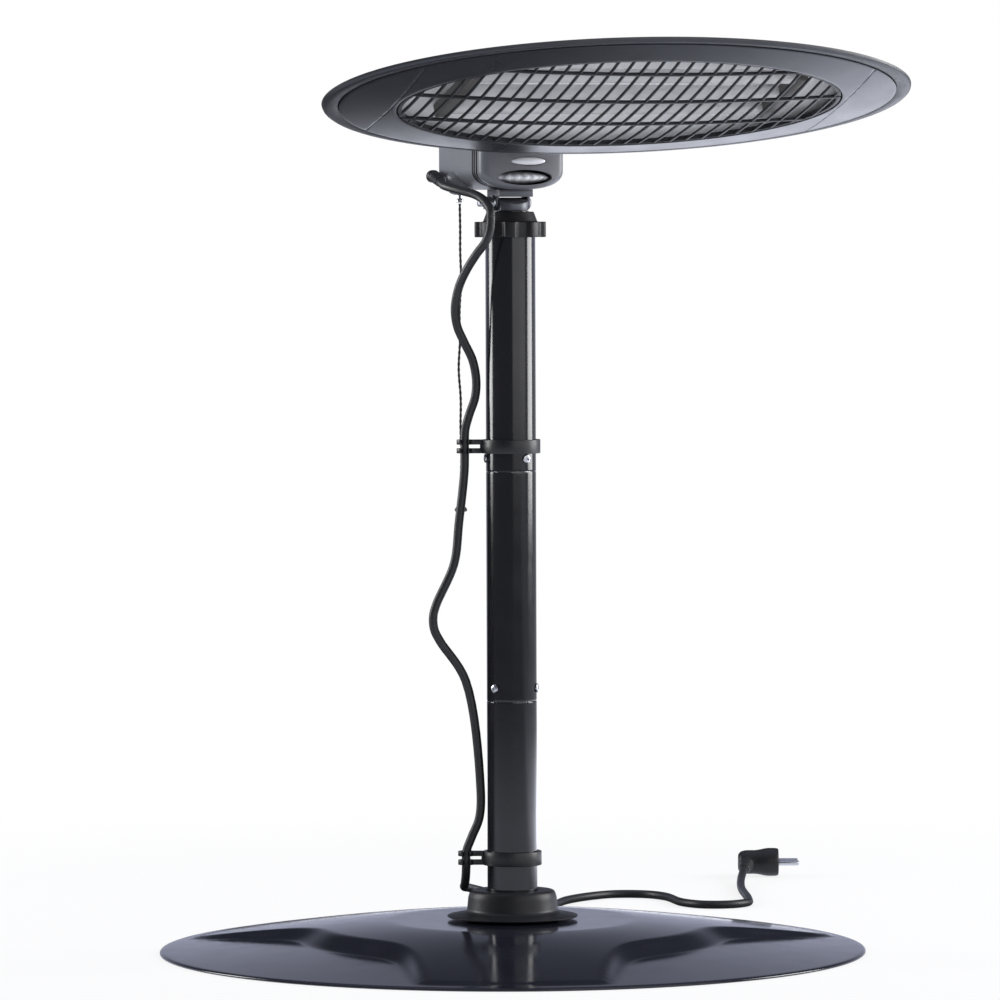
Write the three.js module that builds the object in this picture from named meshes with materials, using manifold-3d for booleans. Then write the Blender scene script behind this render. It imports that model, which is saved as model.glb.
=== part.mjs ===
// Infrared patio heater tower: an oval radiant head that tilts on a telescopic mast, above a
// three-section pole on a round weighted base. Millimetres, +Z up, +X to the right and -Y to the
// front. The origin is the middle of the underside of the base.
import * as THREE from "three";
import { mergeVertices } from "three/addons/utils/BufferGeometryUtils.js";
import Module from "manifold-3d";

const wasm = await Module();
wasm.setup();

// ---------------------------------------------------------------- driving dimensions
const FIT = 0.3; // gap between pieces that touch
const ROUND = 28; // facets round a tube

// base
const BASE_RADIUS = 283;
const BASE_EDGE_TOP = 2.6;
const BASE_PLATEAU_TOP = 26;
const BASE_PLATEAU_RADIUS = 98;
const BASE_COVER_WALL = 2;
const BASE_PLATE_THICKNESS = 1.5;
const BASE_PLATE_RADIUS = BASE_RADIUS - 19;
const SCOOP_COUNT = 3;
const SCOOP_FIRST_ANGLE = 90; // degrees, so that one solid spoke faces the front
const SCOOP_CREST_RADIUS = BASE_RADIUS - 133; // where the scoop's wall starts, on its middle line
const SCOOP_HALF_ANGLE = 45;
const SCOOP_END_RADIUS = BASE_RADIUS - 21;
const SCOOP_FLOOR_SLOPE = 0.07;
const SCOOP_WALL_WIDTH = 22;
const WEIGHT_TOP = 20;
const WEIGHT_TOP_RADIUS = 90;
const WEIGHT_SHOULDER_RADIUS = SCOOP_CREST_RADIUS - 2;
const WEIGHT_SHOULDER_DROP = 4.8;
const WEIGHT_RIM_RADIUS = BASE_RADIUS - 48;
const BASE_BOLT_RADIUS = 4;
const BASE_BOLT_DEPTH = 12;

// pole: three tubes of one size, butted on inner sleeves
const POLE_RADIUS = 20;
const POLE_WALL = 1.5;
const SOCKET_FLANGE_RADIUS = 45;
const SOCKET_FLANGE_THICKNESS = 3.4;
const SOCKET_HEIGHT = 86;
const SOCKET_WALL = 2.7;
const LOWER_JOINT_Z = 201.8;
const UPPER_JOINT_Z = 385.8;
const POLE_TOP_Z = 578;
const SLEEVE_HALF_LENGTH = 36;
const SLEEVE_WALL = 1.5;
const SCREW_RISE = 10.5; // screws sit this far above their joint
const LOWER_SCREW_ANGLES = [78, -42, -162]; // degrees from the front towards +X
const UPPER_SCREW_ANGLES = [37.5, -82.5, 157.5];
const SCREW_SHANK_RADIUS = 1.8;
const SCREW_HEAD_RADIUS = 3.6;
const SCREW_HEAD_HEIGHT = 1.6;
const COLLAR_HEIGHT = 23.4;
const COLLAR_RADIUS = 36.5;
const COLLAR_BRIM_RADIUS = 52.5;

// cable clips
const CLIP_LOWER_Z = 75.5;
const CLIP_UPPER_Z = 405.8;
const CLIP_HEIGHT = 11;
const CLIP_BAND = 3.3;
const CLIP_REACH = 37; // pole axis to the middle of the cable
const CLIP_EYE_WALL = 2;
const CLIP_PRONG_GAP = 3;
const CLIP_MOUTH = 5.4;

// twist collar and collet at the pole's top
const TWIST_RING_BOTTOM_Z = 573;
const TWIST_RING_HEIGHT = 12.4;
const TWIST_RING_RADIUS = 26.6;
const TWIST_LOBE = 2;
const TWIST_LOBES = 8;
const TWIST_CONE_HEIGHT = 8;
const TWIST_CONE_BOTTOM_RADIUS = 21.8;
const TWIST_CONE_TOP_RADIUS = 18.8;
const COLLET_DEPTH = 18;
const COLLET_SLOTS = 4;
const COLLET_SLOT_WIDTH = 1.6;

// mast
const MAST_RADIUS = 15;
const MAST_WALL = 1.5;
const MAST_BOTTOM_Z = 430;
const MAST_TOP_Z = 594;
const MAST_FOOT_HEIGHT = 16;
const MAST_PLUG_LENGTH = 24;

// tilt hinge: its axis runs along the head's long axis
const HINGE_Z = 600.5;
const HEAD_YAW = 22.7; // degrees, the head's long axis about +Z
const TILT_UP = 25; // degrees of travel, front edge up
const TILT_DOWN = 20;
const EAR_SPACING = 12.3; // mast axis to the inner face of an ear
const EAR_THICKNESS = 2.3;
const EAR_RADIUS = 6;
const BRACKET_PLATE_Z = 605.2;
const BRACKET_PLATE_THICKNESS = 5.1;
const BRACKET_HALF_WIDTH = 14.6;
const BRACKET_HALF_DEPTH = 13;
const TILT_BOLT_RADIUS = 3;
const TILT_BOLT_TAIL = 28;
const TILT_BOLT_HEAD_RADIUS = 5.4;
const TILT_BOLT_HEAD_HEIGHT = 2;
const LOCK_NUT_RADIUS = 5.8;
const LOCK_NUT_LENGTH = 7;

// control box, in the head's level frame: width along the hinge, depth d towards the front
const BOX_HALF_WIDTH = 36;
const BOX_TOP_Z = 650;
const BOX_HEIGHT = 39;
const BOX_BELLY_HEIGHT = 15; // the curved part below the straight sides
const BOX_BOTTOM_Z = BOX_TOP_Z - BOX_HEIGHT;
const BOX_STRAIGHT_Z = BOX_BOTTOM_Z + BOX_BELLY_HEIGHT;
const BOX_CURVE_POWER = 2.3;
const BOX_BACK_D = -66;
const BOX_FRONT_D = 33;
const BOX_SEAM_D = 11.2;
const BOX_WALL = 2.2;
const BOX_EDGE_ROUND = 3;
const BOX_CROWN_RADIUS = 120;
const GASKET_THICKNESS = 2.2;
const GASKET_RECESS = 0.8;
const DIAL_Z = 620.5;
const DIAL_D = 4.3;
const DIAL_RADIUS = 30.3;
const DIAL_HALF_HEIGHT = 5.2;
const DIAL_END_DROP = 16.3;
const DIAL_RIBS = 24;
const DIAL_RIB_DEPTH = 0.6;
const DIAL_SHAFT_RADIUS = 2.9;
const DIAL_WINDOW = [23.4, 6.1]; // half width and half height
const LENS_CENTRE = [2.6, 633.5];
const LENS_HALF_SIZE = [14.9, 3.3];
const LENS_HALF_DEPTH = 3;
const LENS_D = 31.2;
const SWITCH_BOTTOM_Z = 630;
const PULL_E = -29.5;
const PULL_D = -34;
const PULL_BOSS_RADIUS = 11;
const PULL_BOSS_BOTTOM_Z = 606.8;
const PULL_ROD_RADIUS = 1.9;
const PULL_SWITCH_BOTTOM_Z = 627;
const PULL_PIVOT_Z = 602;
const PULL_SWING_GAP = 0.8; // lets the cord swing under the rod's end
const PULL_CORD_RADIUS = 1.1;
const PULL_CORD_BOTTOM_Z = 361;
const PULL_BELL_HEIGHT = 8;
const PULL_BELL_RADIUS = 5.2;
const GLAND_E = -41.4;
const GLAND_Z = 622;
const GLAND_RADIUS = 5.1;
const GLAND_DS = [-66, -58.5];
const GLAND_STEM_RADIUS = 2.8;
const GLAND_STEM_D = -62;
const RELIEF_LENGTH = 21;
const RELIEF_RADIUS = 4.9;
const RELIEF_LEAN = [-3.6, -4.6]; // how far its tip moves sideways and down along its length

// head, in its own tilted frame: p along the long axis, q along the short one, z up
const HEAD_HALF_LENGTH = 243;
const HEAD_HALF_WIDTH = 121;
const HEAD_TILT = 20.3; // degrees, front edge up
const HEAD_OFFSET_E = 5;
const HEAD_OFFSET_D = 209;
const HEAD_Z = 680;
const SHELL_RIM_HEIGHT = 3;
const SHELL_HEIGHT = 24;
const SHELL_WALL = 2.2;
const SHELL_LIP = 6.5;
const COVER_CROWN = 10;
const COVER_THICKNESS = 1.8;
const SEAM_P = 187;
const OPENING_HALF_LENGTH = 184;
const OPENING_HALF_WIDTH = 90;
const GRILLE_DEPTH = 11;
const GRILLE_RIM_DEPTH = 5.1;
const GRILLE_BAR_HEIGHT = 3.5;
const RIB_PITCH = 12.4;
const RIB_WIDTH = 3;
const BAR_WIDTH = 3;
const BAR_QS = [-66, -16, 32];
const GRILLE_RING = 4;
const GRILLE_RING_THICKNESS = 1.4;
const REFLECTOR_DEPTH = 19;
const REFLECTOR_WALL = 0.8;
const ELEMENT_QS = [-36, -3, 30];
const ELEMENT_RADIUS = 5.5;
const ELEMENT_HALF_LENGTH = 132;
const ELEMENT_Z = 4.5;
const HOLDER_LENGTH = 9;
const NECK_HALF_WIDTH = 27;
const NECK_BACK_D = -46;
// depth and rise over the neck's foot: along its underside, its end, and its top back to the box
const NECK_UNDERSIDE = [[36, 0], [60, -4.3], [94, -10.5], [108, -6.3], [146, 19.7]];
const NECK_END = [150, 28.2];
const NECK_CROWN = [108, 32.7];
const NECK_BACK = [64, 24.7];
const NECK_HOLLOW = [0, 14.7];

// mains cord and plug
const CORD_RADIUS = 3.5;
const PLUG_FRONT = [210.5, 591.4, 12.8]; // where the cord's boot meets the plug's body
const PLUG_LENGTH = 36;
const PLUG_WAIST = 10.6; // its radius where the cord enters
const PLUG_RADIUS = 12.5;
const PLUG_BOOT_TIP = [206.5, 562, 10.4];
const PLUG_PIN_RADIUS = 2.4;
const PLUG_PIN_LENGTH = 18;
const PLUG_PIN_SPACING = 19;

// ---------------------------------------------------------------- materials
const finish = (color, roughness, metalness) =>
  new THREE.MeshStandardMaterial({ color, roughness, metalness });
const GLOSS_BLACK = finish(0x14151a, 0.15, 0.3);
const BASE_BLACK = finish(0x1b1c24, 0.12, 0.1);
const MATTE_BLACK = finish(0x17181a, 0.5, 0);
const HEAD_GREY = finish(0x43464d, 0.4, 0.3);
const BOX_GREY = finish(0x6b6d72, 0.45, 0.1);
const LIGHT_GREY = finish(0xb9bbc0, 0.35, 0);
const GRILLE_BLACK = finish(0x2a2c31, 0.4, 0.4);
const CAST_IRON = finish(0x3a3a3c, 0.7, 0.6);
const STEEL = finish(0xb4b6ba, 0.3, 1);
const POLISHED = finish(0xe8eaee, 0.12, 1);
const QUARTZ = finish(0xf2f0ea, 0.1, 0);
const CERAMIC = finish(0xe6e2d8, 0.6, 0);
const CORD_BLACK = finish(0x141416, 0.6, 0);

// ---------------------------------------------------------------- solid helpers
const rad = THREE.MathUtils.degToRad;
const lerp = THREE.MathUtils.lerp;
const vec = (x, y, z) => new THREE.Vector3(x, y, z);

// An indexed, outward-facing closed surface as a solid.
function solid(geometry) {
  const bare = new THREE.BufferGeometry();
  bare.setAttribute("position", geometry.getAttribute("position"));
  bare.setIndex(geometry.index);
  const merged = mergeVertices(bare, 1e-4);
  const at = merged.attributes.position;
  const faces = [];
  let volume = 0;
  for (let i = 0; i < merged.index.count; i += 3) {
    const [a, b, c] = [0, 1, 2].map((k) => merged.index.getX(i + k));
    if (a === b || b === c || c === a) continue;
    faces.push([a, b, c]);
    const corner = (k) => vec(at.getX(k), at.getY(k), at.getZ(k));
    volume += corner(a).dot(corner(b).cross(corner(c)));
  }
  const outward = volume < 0 ? faces.map(([a, b, c]) => [a, c, b]) : faces;
  return new wasm.Manifold(
    new wasm.Mesh({
      numProp: 3,
      vertProperties: new Float32Array(at.array),
      triVerts: new Uint32Array(outward.flat()),
    }),
  );
}

function geometryOf(body) {
  const mesh = body.getMesh();
  const points = new Float32Array(mesh.numVert * 3);
  for (let i = 0; i < mesh.numVert; i++)
    points.set(mesh.vertProperties.subarray(i * mesh.numProp, i * mesh.numProp + 3), i * 3);
  return new THREE.BufferGeometry()
    .setAttribute("position", new THREE.BufferAttribute(points, 3))
    .setIndex(new THREE.BufferAttribute(mesh.triVerts, 1));
}

const join = (first, ...rest) => rest.reduce((sum, next) => sum.add(next), first);
const cut = (first, ...tools) => tools.reduce((left, tool) => left.subtract(tool), first);

// A body of revolution about Z from a closed profile of [radius, height] points.
function turned(profile, facets = ROUND) {
  const points = [...profile, profile[0]].map(([r, z]) => new THREE.Vector2(r, z));
  return solid(new THREE.LatheGeometry(points, facets).rotateX(Math.PI / 2));
}

// A turned body stretched along X into an oval one.
function oval(profile, stretch, facets) {
  const points = [...profile, profile[0]].map(([r, z]) => new THREE.Vector2(r, z));
  return solid(new THREE.LatheGeometry(points, facets).rotateX(Math.PI / 2).scale(stretch, 1, 1));
}

const tube = (outer, inner, z0, z1, facets) =>
  turned([[inner, z0], [outer, z0], [outer, z1], [inner, z1]], facets);

const rod = (radius, z0, z1, facets) =>
  turned([[0, z0], [radius, z0], [radius, z1], [0, z1]], facets);

function block(x0, x1, y0, y1, z0, z1) {
  const box = new THREE.BoxGeometry(x1 - x0, y1 - y0, z1 - z0);
  return solid(box.translate((x0 + x1) / 2, (y0 + y1) / 2, (z0 + z1) / 2));
}

// A closed ring whose profile changes round the axis: profileAt(angle) gives [radius, height]s.
function ringLoft(profileAt, angles) {
  const columns = angles.map((angle) =>
    profileAt(angle).map(([r, z]) => [r * Math.cos(angle), r * Math.sin(angle), z]),
  );
  const count = columns[0].length;
  const index = [];
  columns.forEach((_, i) => {
    const next = (i + 1) % columns.length;
    for (let j = 0; j < count; j++) {
      const k = (j + 1) % count;
      const [a, b, c, d] = [i * count + j, next * count + j, next * count + k, i * count + k];
      index.push(a, b, c, a, c, d);
    }
  });
  const surface = new THREE.BufferGeometry();
  surface.setAttribute("position", new THREE.Float32BufferAttribute(columns.flat(2), 3));
  return solid(surface.setIndex(index));
}

const evenAngles = (count) => Array.from({ length: count }, (_, i) => (i / count) * 2 * Math.PI);

function moved(body, matrix) {
  return solid(geometryOf(body).applyMatrix4(matrix));
}

const shift = (x, y, z) => new THREE.Matrix4().makeTranslation(x, y, z);
const turnX = (angle) => new THREE.Matrix4().makeRotationX(angle);
const turnY = (angle) => new THREE.Matrix4().makeRotationY(angle);
const turnZ = (angle) => new THREE.Matrix4().makeRotationZ(angle);

// A +Z shape placed with its axis from one point towards another.
function aimed(body, from, to) {
  const turn = new THREE.Quaternion().setFromUnitVectors(
    vec(0, 0, 1),
    to.clone().sub(from).normalize(),
  );
  return moved(body, new THREE.Matrix4().compose(from, turn, vec(1, 1, 1)));
}

function ellipseShape(halfX, halfY, centreX = 0, centreY = 0) {
  return new THREE.Shape().absellipse(centreX, centreY, halfX, halfY, 0, 2 * Math.PI);
}

function prism(shape, z0, z1, curveSegments = 16) {
  const made = new THREE.ExtrudeGeometry(shape, {
    depth: z1 - z0,
    bevelEnabled: false,
    curveSegments,
  });
  return solid(made.translate(0, 0, z0));
}

// A shape drawn in width and height, pushed from depth d0 to d1 towards the front (-Y).
const frontPrism = (shape, d0, d1, segments) =>
  moved(prism(shape, d0, d1, segments), turnX(Math.PI / 2));

function mesh(name, body, material, parent) {
  const made = new THREE.Mesh(geometryOf(body), material);
  made.name = name;
  parent.add(made);
  return made;
}

// ---------------------------------------------------------------- scene graph
const tower = new THREE.Group();
const head = new THREE.Group(); // level, yawed, on the mast's axis: the control box's frame
head.rotation.z = rad(HEAD_YAW);
tower.add(head);
const lamp = new THREE.Group(); // the oval head's own tilted frame
lamp.position.set(HEAD_OFFSET_E, -HEAD_OFFSET_D, HEAD_Z);
lamp.rotation.x = -rad(HEAD_TILT);
head.add(lamp);

// ---------------------------------------------------------------- base
// The cover's plain crown, a gentle cone that flattens into the plateau.
function crownHeight(r) {
  if (r <= BASE_PLATEAU_RADIUS) return BASE_PLATEAU_TOP;
  const share = (r - BASE_PLATEAU_RADIUS) / (BASE_RADIUS - BASE_PLATEAU_RADIUS);
  return BASE_EDGE_TOP + (BASE_PLATEAU_TOP - BASE_EDGE_TOP) * (1 - share ** 1.25);
}

const scoopFloor = (r) => BASE_EDGE_TOP + (BASE_RADIUS - r) * SCOOP_FLOOR_SLOPE;

// Where a scoop's crest lies at an angle from the scoop's middle line.
function crestRadius(offset) {
  const share = Math.min(1, Math.abs(offset) / SCOOP_HALF_ANGLE) ** 5;
  return lerp(SCOOP_CREST_RADIUS, SCOOP_END_RADIUS, share);
}

function makeBase() {
  const sector = 360 / SCOOP_COUNT;
  const steps = [0, 15, 25, 31, 35.5, 39.5, 42.5, 45, 49];
  const offsets = [...steps.slice(1).reverse().map((s) => -s), ...steps, sector / 2];
  const columns = [];
  for (let i = 0; i < SCOOP_COUNT; i++)
    for (const offset of offsets) columns.push([SCOOP_FIRST_ANGLE + i * sector + offset, offset]);
  const offsetOf = new Map(columns.map(([angle, offset]) => [rad(angle), offset]));
  const hole = POLE_RADIUS + 3 * FIT;
  const profileAt = (angle) => {
    const crest = crestRadius(offsetOf.get(angle));
    const wall = Math.min(SCOOP_WALL_WIDTH, (BASE_RADIUS - crest) * 0.6);
    const foot = crest + wall;
    const heightAt = (r) => {
      const s = THREE.MathUtils.smoothstep(r, crest, foot);
      return lerp(crownHeight(r), scoopFloor(r), s);
    };
    const inner = BASE_RADIUS - BASE_COVER_WALL;
    const radii = [
      hole,
      BASE_PLATEAU_RADIUS,
      lerp(BASE_PLATEAU_RADIUS, crest, 0.5),
      crest,
      crest + wall / 3,
      crest + (2 * wall) / 3,
      foot,
      lerp(foot, inner, 0.5),
    ];
    const top = radii.map((r) => [r, heightAt(r)]);
    const under = radii.map((r) => [r, heightAt(r) - BASE_COVER_WALL]).reverse();
    const edge = [
      [inner, BASE_EDGE_TOP],
      [BASE_RADIUS, BASE_EDGE_TOP - 0.6],
      [BASE_RADIUS, FIT],
      [inner, FIT],
      [inner - 0.5, BASE_EDGE_TOP - BASE_COVER_WALL + 0.1],
    ];
    return [...top, ...edge, ...under];
  };
  mesh("base_cover", ringLoft(profileAt, [...offsetOf.keys()]), BASE_BLACK, tower);

  mesh("base_plate", rod(BASE_PLATE_RADIUS, 0, BASE_PLATE_THICKNESS, 64), CAST_IRON, tower);

  const weightBottom = BASE_PLATE_THICKNESS + FIT;
  const footRadius = SCOOP_CREST_RADIUS + SCOOP_WALL_WIDTH;
  const underCover = (r) => scoopFloor(r) - BASE_COVER_WALL - 3 * FIT;
  const boltHole = BASE_BOLT_RADIUS + FIT;
  const boltTip = WEIGHT_TOP - BASE_BOLT_DEPTH;
  const weight = turned(
    [
      [0, weightBottom],
      [WEIGHT_RIM_RADIUS, weightBottom],
      [WEIGHT_RIM_RADIUS, underCover(WEIGHT_RIM_RADIUS)],
      [footRadius, underCover(footRadius)],
      [WEIGHT_SHOULDER_RADIUS, WEIGHT_TOP - WEIGHT_SHOULDER_DROP],
      [WEIGHT_TOP_RADIUS, WEIGHT_TOP],
      [boltHole, WEIGHT_TOP],
      [boltHole, boltTip - FIT],
      [0, boltTip - FIT],
    ],
    40,
  );
  mesh("base_weight", weight, CAST_IRON, tower);

  const flangeBottom = WEIGHT_TOP + FIT;
  const flangeTop = flangeBottom + SOCKET_FLANGE_THICKNESS;
  const stub = POLE_RADIUS - POLE_WALL - FIT;
  const socketFloor = flangeTop + 1;
  const socket = turned([
    [boltHole, flangeBottom],
    [SOCKET_FLANGE_RADIUS, flangeBottom],
    [SOCKET_FLANGE_RADIUS, flangeTop],
    [stub, flangeTop],
    [stub, flangeTop + SOCKET_HEIGHT],
    [stub - SOCKET_WALL, flangeTop + SOCKET_HEIGHT],
    [stub - SOCKET_WALL, socketFloor],
    [boltHole, socketFloor],
  ]);
  mesh("pole_socket", socket, STEEL, tower);

  const bolt = join(
    rod(BASE_BOLT_RADIUS, boltTip, socketFloor + 1, 16),
    rod(1.6 * BASE_BOLT_RADIUS, socketFloor + FIT, socketFloor + 5.5, 6),
  );
  mesh("base_bolt", bolt, STEEL, tower);
  return flangeTop + FIT;
}

// ---------------------------------------------------------------- pole
function radialDirection(degreesFromFront) {
  const a = rad(degreesFromFront);
  return vec(Math.sin(a), -Math.cos(a), 0);
}

function radial(body, degreesFromFront, z) {
  const from = vec(0, 0, z);
  return aimed(body, from, from.clone().add(radialDirection(degreesFromFront)));
}

function screwHoles(angles, z) {
  return angles.map((angle) =>
    radial(rod(SCREW_SHANK_RADIUS + FIT, 10, POLE_RADIUS + 5, 12), angle, z),
  );
}

function makePoleScrew(name, angle, z) {
  const seat = POLE_RADIUS + FIT;
  const screw = join(
    rod(SCREW_SHANK_RADIUS, POLE_RADIUS - POLE_WALL - SLEEVE_WALL - 2, seat + 1, 10),
    turned(
      [
        [0, seat],
        [SCREW_HEAD_RADIUS, seat],
        [SCREW_HEAD_RADIUS, seat + SCREW_HEAD_HEIGHT * 0.5],
        [SCREW_HEAD_RADIUS * 0.6, seat + SCREW_HEAD_HEIGHT],
        [0, seat + SCREW_HEAD_HEIGHT],
      ],
      14,
    ),
  );
  mesh(name, radial(screw, angle, z), STEEL, tower);
}

function makePole(bottomZ) {
  const bore = POLE_RADIUS - POLE_WALL;
  const section = (z0, z1, holes) =>
    cut(tube(POLE_RADIUS, bore, z0, z1), ...holes);
  const lowerScrewZ = LOWER_JOINT_Z + SCREW_RISE;
  const upperScrewZ = UPPER_JOINT_Z + SCREW_RISE;
  const lowerHoles = screwHoles(LOWER_SCREW_ANGLES, lowerScrewZ);
  const upperHoles = screwHoles(UPPER_SCREW_ANGLES, upperScrewZ);
  const gap = FIT / 2;
  mesh("pole_lower", section(bottomZ, LOWER_JOINT_Z - gap, []), GLOSS_BLACK, tower);
  mesh(
    "pole_middle",
    section(LOWER_JOINT_Z + gap, UPPER_JOINT_Z - gap, lowerHoles),
    GLOSS_BLACK,
    tower,
  );
  mesh("pole_upper", section(UPPER_JOINT_Z + gap, POLE_TOP_Z, upperHoles), GLOSS_BLACK, tower);

  const sleeve = (z, holes) =>
    cut(
      tube(bore - FIT, bore - FIT - SLEEVE_WALL, z - SLEEVE_HALF_LENGTH, z + SLEEVE_HALF_LENGTH),
      ...holes,
    );
  mesh("joint_sleeve_lower", sleeve(LOWER_JOINT_Z, lowerHoles), STEEL, tower);
  mesh("joint_sleeve_upper", sleeve(UPPER_JOINT_Z, upperHoles), STEEL, tower);
  LOWER_SCREW_ANGLES.forEach((angle, i) =>
    makePoleScrew(`lower_joint_screw_${i + 1}`, angle, lowerScrewZ),
  );
  UPPER_SCREW_ANGLES.forEach((angle, i) =>
    makePoleScrew(`upper_joint_screw_${i + 1}`, angle, upperScrewZ),
  );
}

function makeBaseCollar() {
  const bottom = BASE_PLATEAU_TOP + FIT;
  const top = bottom + COLLAR_HEIGHT;
  const bore = POLE_RADIUS + FIT;
  const collar = turned(
    [
      [bore, bottom],
      [COLLAR_RADIUS, bottom],
      [COLLAR_RADIUS, bottom + 0.8],
      [COLLAR_BRIM_RADIUS, bottom + 2],
      [COLLAR_BRIM_RADIUS, bottom + 3],
      [COLLAR_BRIM_RADIUS - 6, bottom + 4.2],
      [COLLAR_RADIUS + 2, bottom + 5.6],
      [COLLAR_RADIUS, bottom + 7.5],
      [COLLAR_RADIUS - 0.9, top - 4.5],
      [COLLAR_RADIUS - 2, top - 1.6],
      [COLLAR_RADIUS - 4, top],
      [bore + 1.2, top],
      [bore, top - 1.2],
    ],
    30,
  );
  mesh("base_collar", collar, MATTE_BLACK, tower);
}

// A snap band round the pole with a two-pronged eye that holds the cord on the left side.
function makeCableClip(name, z) {
  const half = CLIP_HEIGHT / 2;
  const inner = POLE_RADIUS + FIT;
  const band = tube(inner + CLIP_BAND, inner, -half, half);
  const eyeBore = CORD_RADIUS + 1;
  const eyeRadius = eyeBore + CLIP_EYE_WALL;
  const armHalf = 3;
  const eye = moved(rod(eyeRadius, -half, half, 24), shift(-CLIP_REACH, 0, 0));
  const arm = block(-CLIP_REACH, -inner - 1, -armHalf, armHalf, -half, half);
  const bore = moved(rod(eyeBore, -half - 1, half + 1, 24), shift(-CLIP_REACH, 0, 0));
  const mouth = block(
    -CLIP_REACH - CLIP_MOUTH / 2,
    -CLIP_REACH + CLIP_MOUTH / 2,
    -eyeRadius - 1,
    0,
    -half - 1,
    half + 1,
  );
  const window = block(
    -CLIP_REACH - eyeRadius - 1,
    -inner - CLIP_BAND - 1.2,
    -eyeRadius - 1,
    eyeRadius + 1,
    -CLIP_PRONG_GAP / 2,
    CLIP_PRONG_GAP / 2,
  );
  const clip = cut(join(band, cut(join(eye, arm), rod(inner + 1, -half - 1, half + 1))), bore, mouth, window);
  mesh(name, moved(clip, shift(0, 0, z)), MATTE_BLACK, tower);
}

// ---------------------------------------------------------------- twist collar and collet
function makeTwistLock() {
  const ringTop = TWIST_RING_BOTTOM_Z + TWIST_RING_HEIGHT;
  const coneTop = ringTop + TWIST_CONE_HEIGHT;
  const mastBore = MAST_RADIUS + FIT;
  const seatRadius = POLE_RADIUS;
  const seatZ = POLE_TOP_Z + FIT;
  const seatTop = seatZ + 2.7;
  const tipRadius = mastBore + 1.7;
  const tipZ = coneTop - 3.4;
  const collarBore = seatRadius + 2 * FIT;
  const profileAt = (angle) => {
    const lobe = Math.tanh(2.4 * Math.cos(TWIST_LOBES * angle));
    const r = TWIST_RING_RADIUS + TWIST_LOBE * lobe;
    return [
      [collarBore, TWIST_RING_BOTTOM_Z],
      [r - 0.8, TWIST_RING_BOTTOM_Z],
      [r, TWIST_RING_BOTTOM_Z + 0.8],
      [r, ringTop - 0.8],
      [r - 0.8, ringTop],
      [TWIST_CONE_BOTTOM_RADIUS, ringTop],
      [TWIST_CONE_TOP_RADIUS, coneTop],
      [mastBore + FIT, coneTop],
      [mastBore + FIT, tipZ + 2 * FIT],
      [tipRadius + 2 * FIT, tipZ + 2 * FIT],
      [collarBore, seatTop + 2 * FIT],
    ];
  };
  mesh("twist_collar", ringLoft(profileAt, evenAngles(6 * TWIST_LOBES)), MATTE_BLACK, tower);

  const collet = turned([
    [mastBore, POLE_TOP_Z - COLLET_DEPTH],
    [POLE_RADIUS - POLE_WALL - FIT, POLE_TOP_Z - COLLET_DEPTH],
    [POLE_RADIUS - POLE_WALL - FIT, seatZ],
    [seatRadius, seatZ],
    [seatRadius, seatTop],
    [tipRadius, tipZ],
    [mastBore, tipZ],
  ]);
  const slots = Array.from({ length: COLLET_SLOTS / 2 }, (_, i) =>
    moved(
      block(-40, 40, -COLLET_SLOT_WIDTH / 2, COLLET_SLOT_WIDTH / 2, seatTop, tipZ + 1),
      turnZ((i * 2 * Math.PI) / COLLET_SLOTS),
    ),
  );
  mesh("collet", cut(collet, ...slots), MATTE_BLACK, tower);
}

// ---------------------------------------------------------------- mast
function makeMast() {
  const bore = MAST_RADIUS - MAST_WALL;
  mesh("mast_tube", tube(MAST_RADIUS, bore, MAST_BOTTOM_Z, MAST_TOP_Z), GLOSS_BLACK, tower);

  const footRadius = POLE_RADIUS - POLE_WALL - FIT;
  const foot = turned([
    [bore - 2, MAST_BOTTOM_Z - 4],
    [footRadius, MAST_BOTTOM_Z - 4],
    [footRadius, MAST_BOTTOM_Z + MAST_FOOT_HEIGHT],
    [MAST_RADIUS + FIT, MAST_BOTTOM_Z + MAST_FOOT_HEIGHT],
    [MAST_RADIUS + FIT, MAST_BOTTOM_Z - FIT],
    [bore - 2, MAST_BOTTOM_Z - FIT],
  ]);
  mesh("mast_foot_bush", foot, MATTE_BLACK, tower);

  // The head plug's roof leaves room for the bracket's plate at both ends of the tilt.
  const rise = BRACKET_PLATE_Z - HINGE_Z;
  const roofUp = (d) => HINGE_Z + rise / Math.cos(rad(TILT_UP)) + d * Math.tan(rad(TILT_UP));
  const roofDown = (d) => HINGE_Z + rise / Math.cos(rad(TILT_DOWN)) - d * Math.tan(rad(TILT_DOWN));
  const slack = 1.5 * FIT;
  const reach = MAST_RADIUS + 1;
  const ridge = 1;
  const neckZ = MAST_TOP_Z + FIT;
  const roof = new THREE.Shape(
    [
      [-neckZ, -reach],
      [-neckZ, reach],
      [slack - roofDown(reach), reach],
      [slack - BRACKET_PLATE_Z, ridge],
      [slack - BRACKET_PLATE_Z, -ridge],
      [slack - roofUp(-reach), -reach],
    ].map(([negZ, d]) => new THREE.Vector2(d, -negZ)),
  );
  const flatHalf = EAR_SPACING - FIT;
  // the roof is drawn in depth and height, and pushed along the hinge
  const gable = moved(
    prism(roof, -flatHalf, flatHalf),
    turnZ(-Math.PI / 2).multiply(turnX(Math.PI / 2)),
  );
  const body = gable.intersect(rod(MAST_RADIUS, neckZ, BRACKET_PLATE_Z));
  const plug = join(
    rod(bore - FIT, MAST_TOP_Z - MAST_PLUG_LENGTH, neckZ),
    rod(flatHalf - FIT, neckZ - 1, neckZ + 1),
  );
  const hole = alongHinge(rod(TILT_BOLT_RADIUS + FIT, -reach, reach, 20));
  const plugHead = cut(join(plug, body), hole);
  mesh("mast_head_plug", plugHead, MATTE_BLACK, head);
}

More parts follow.
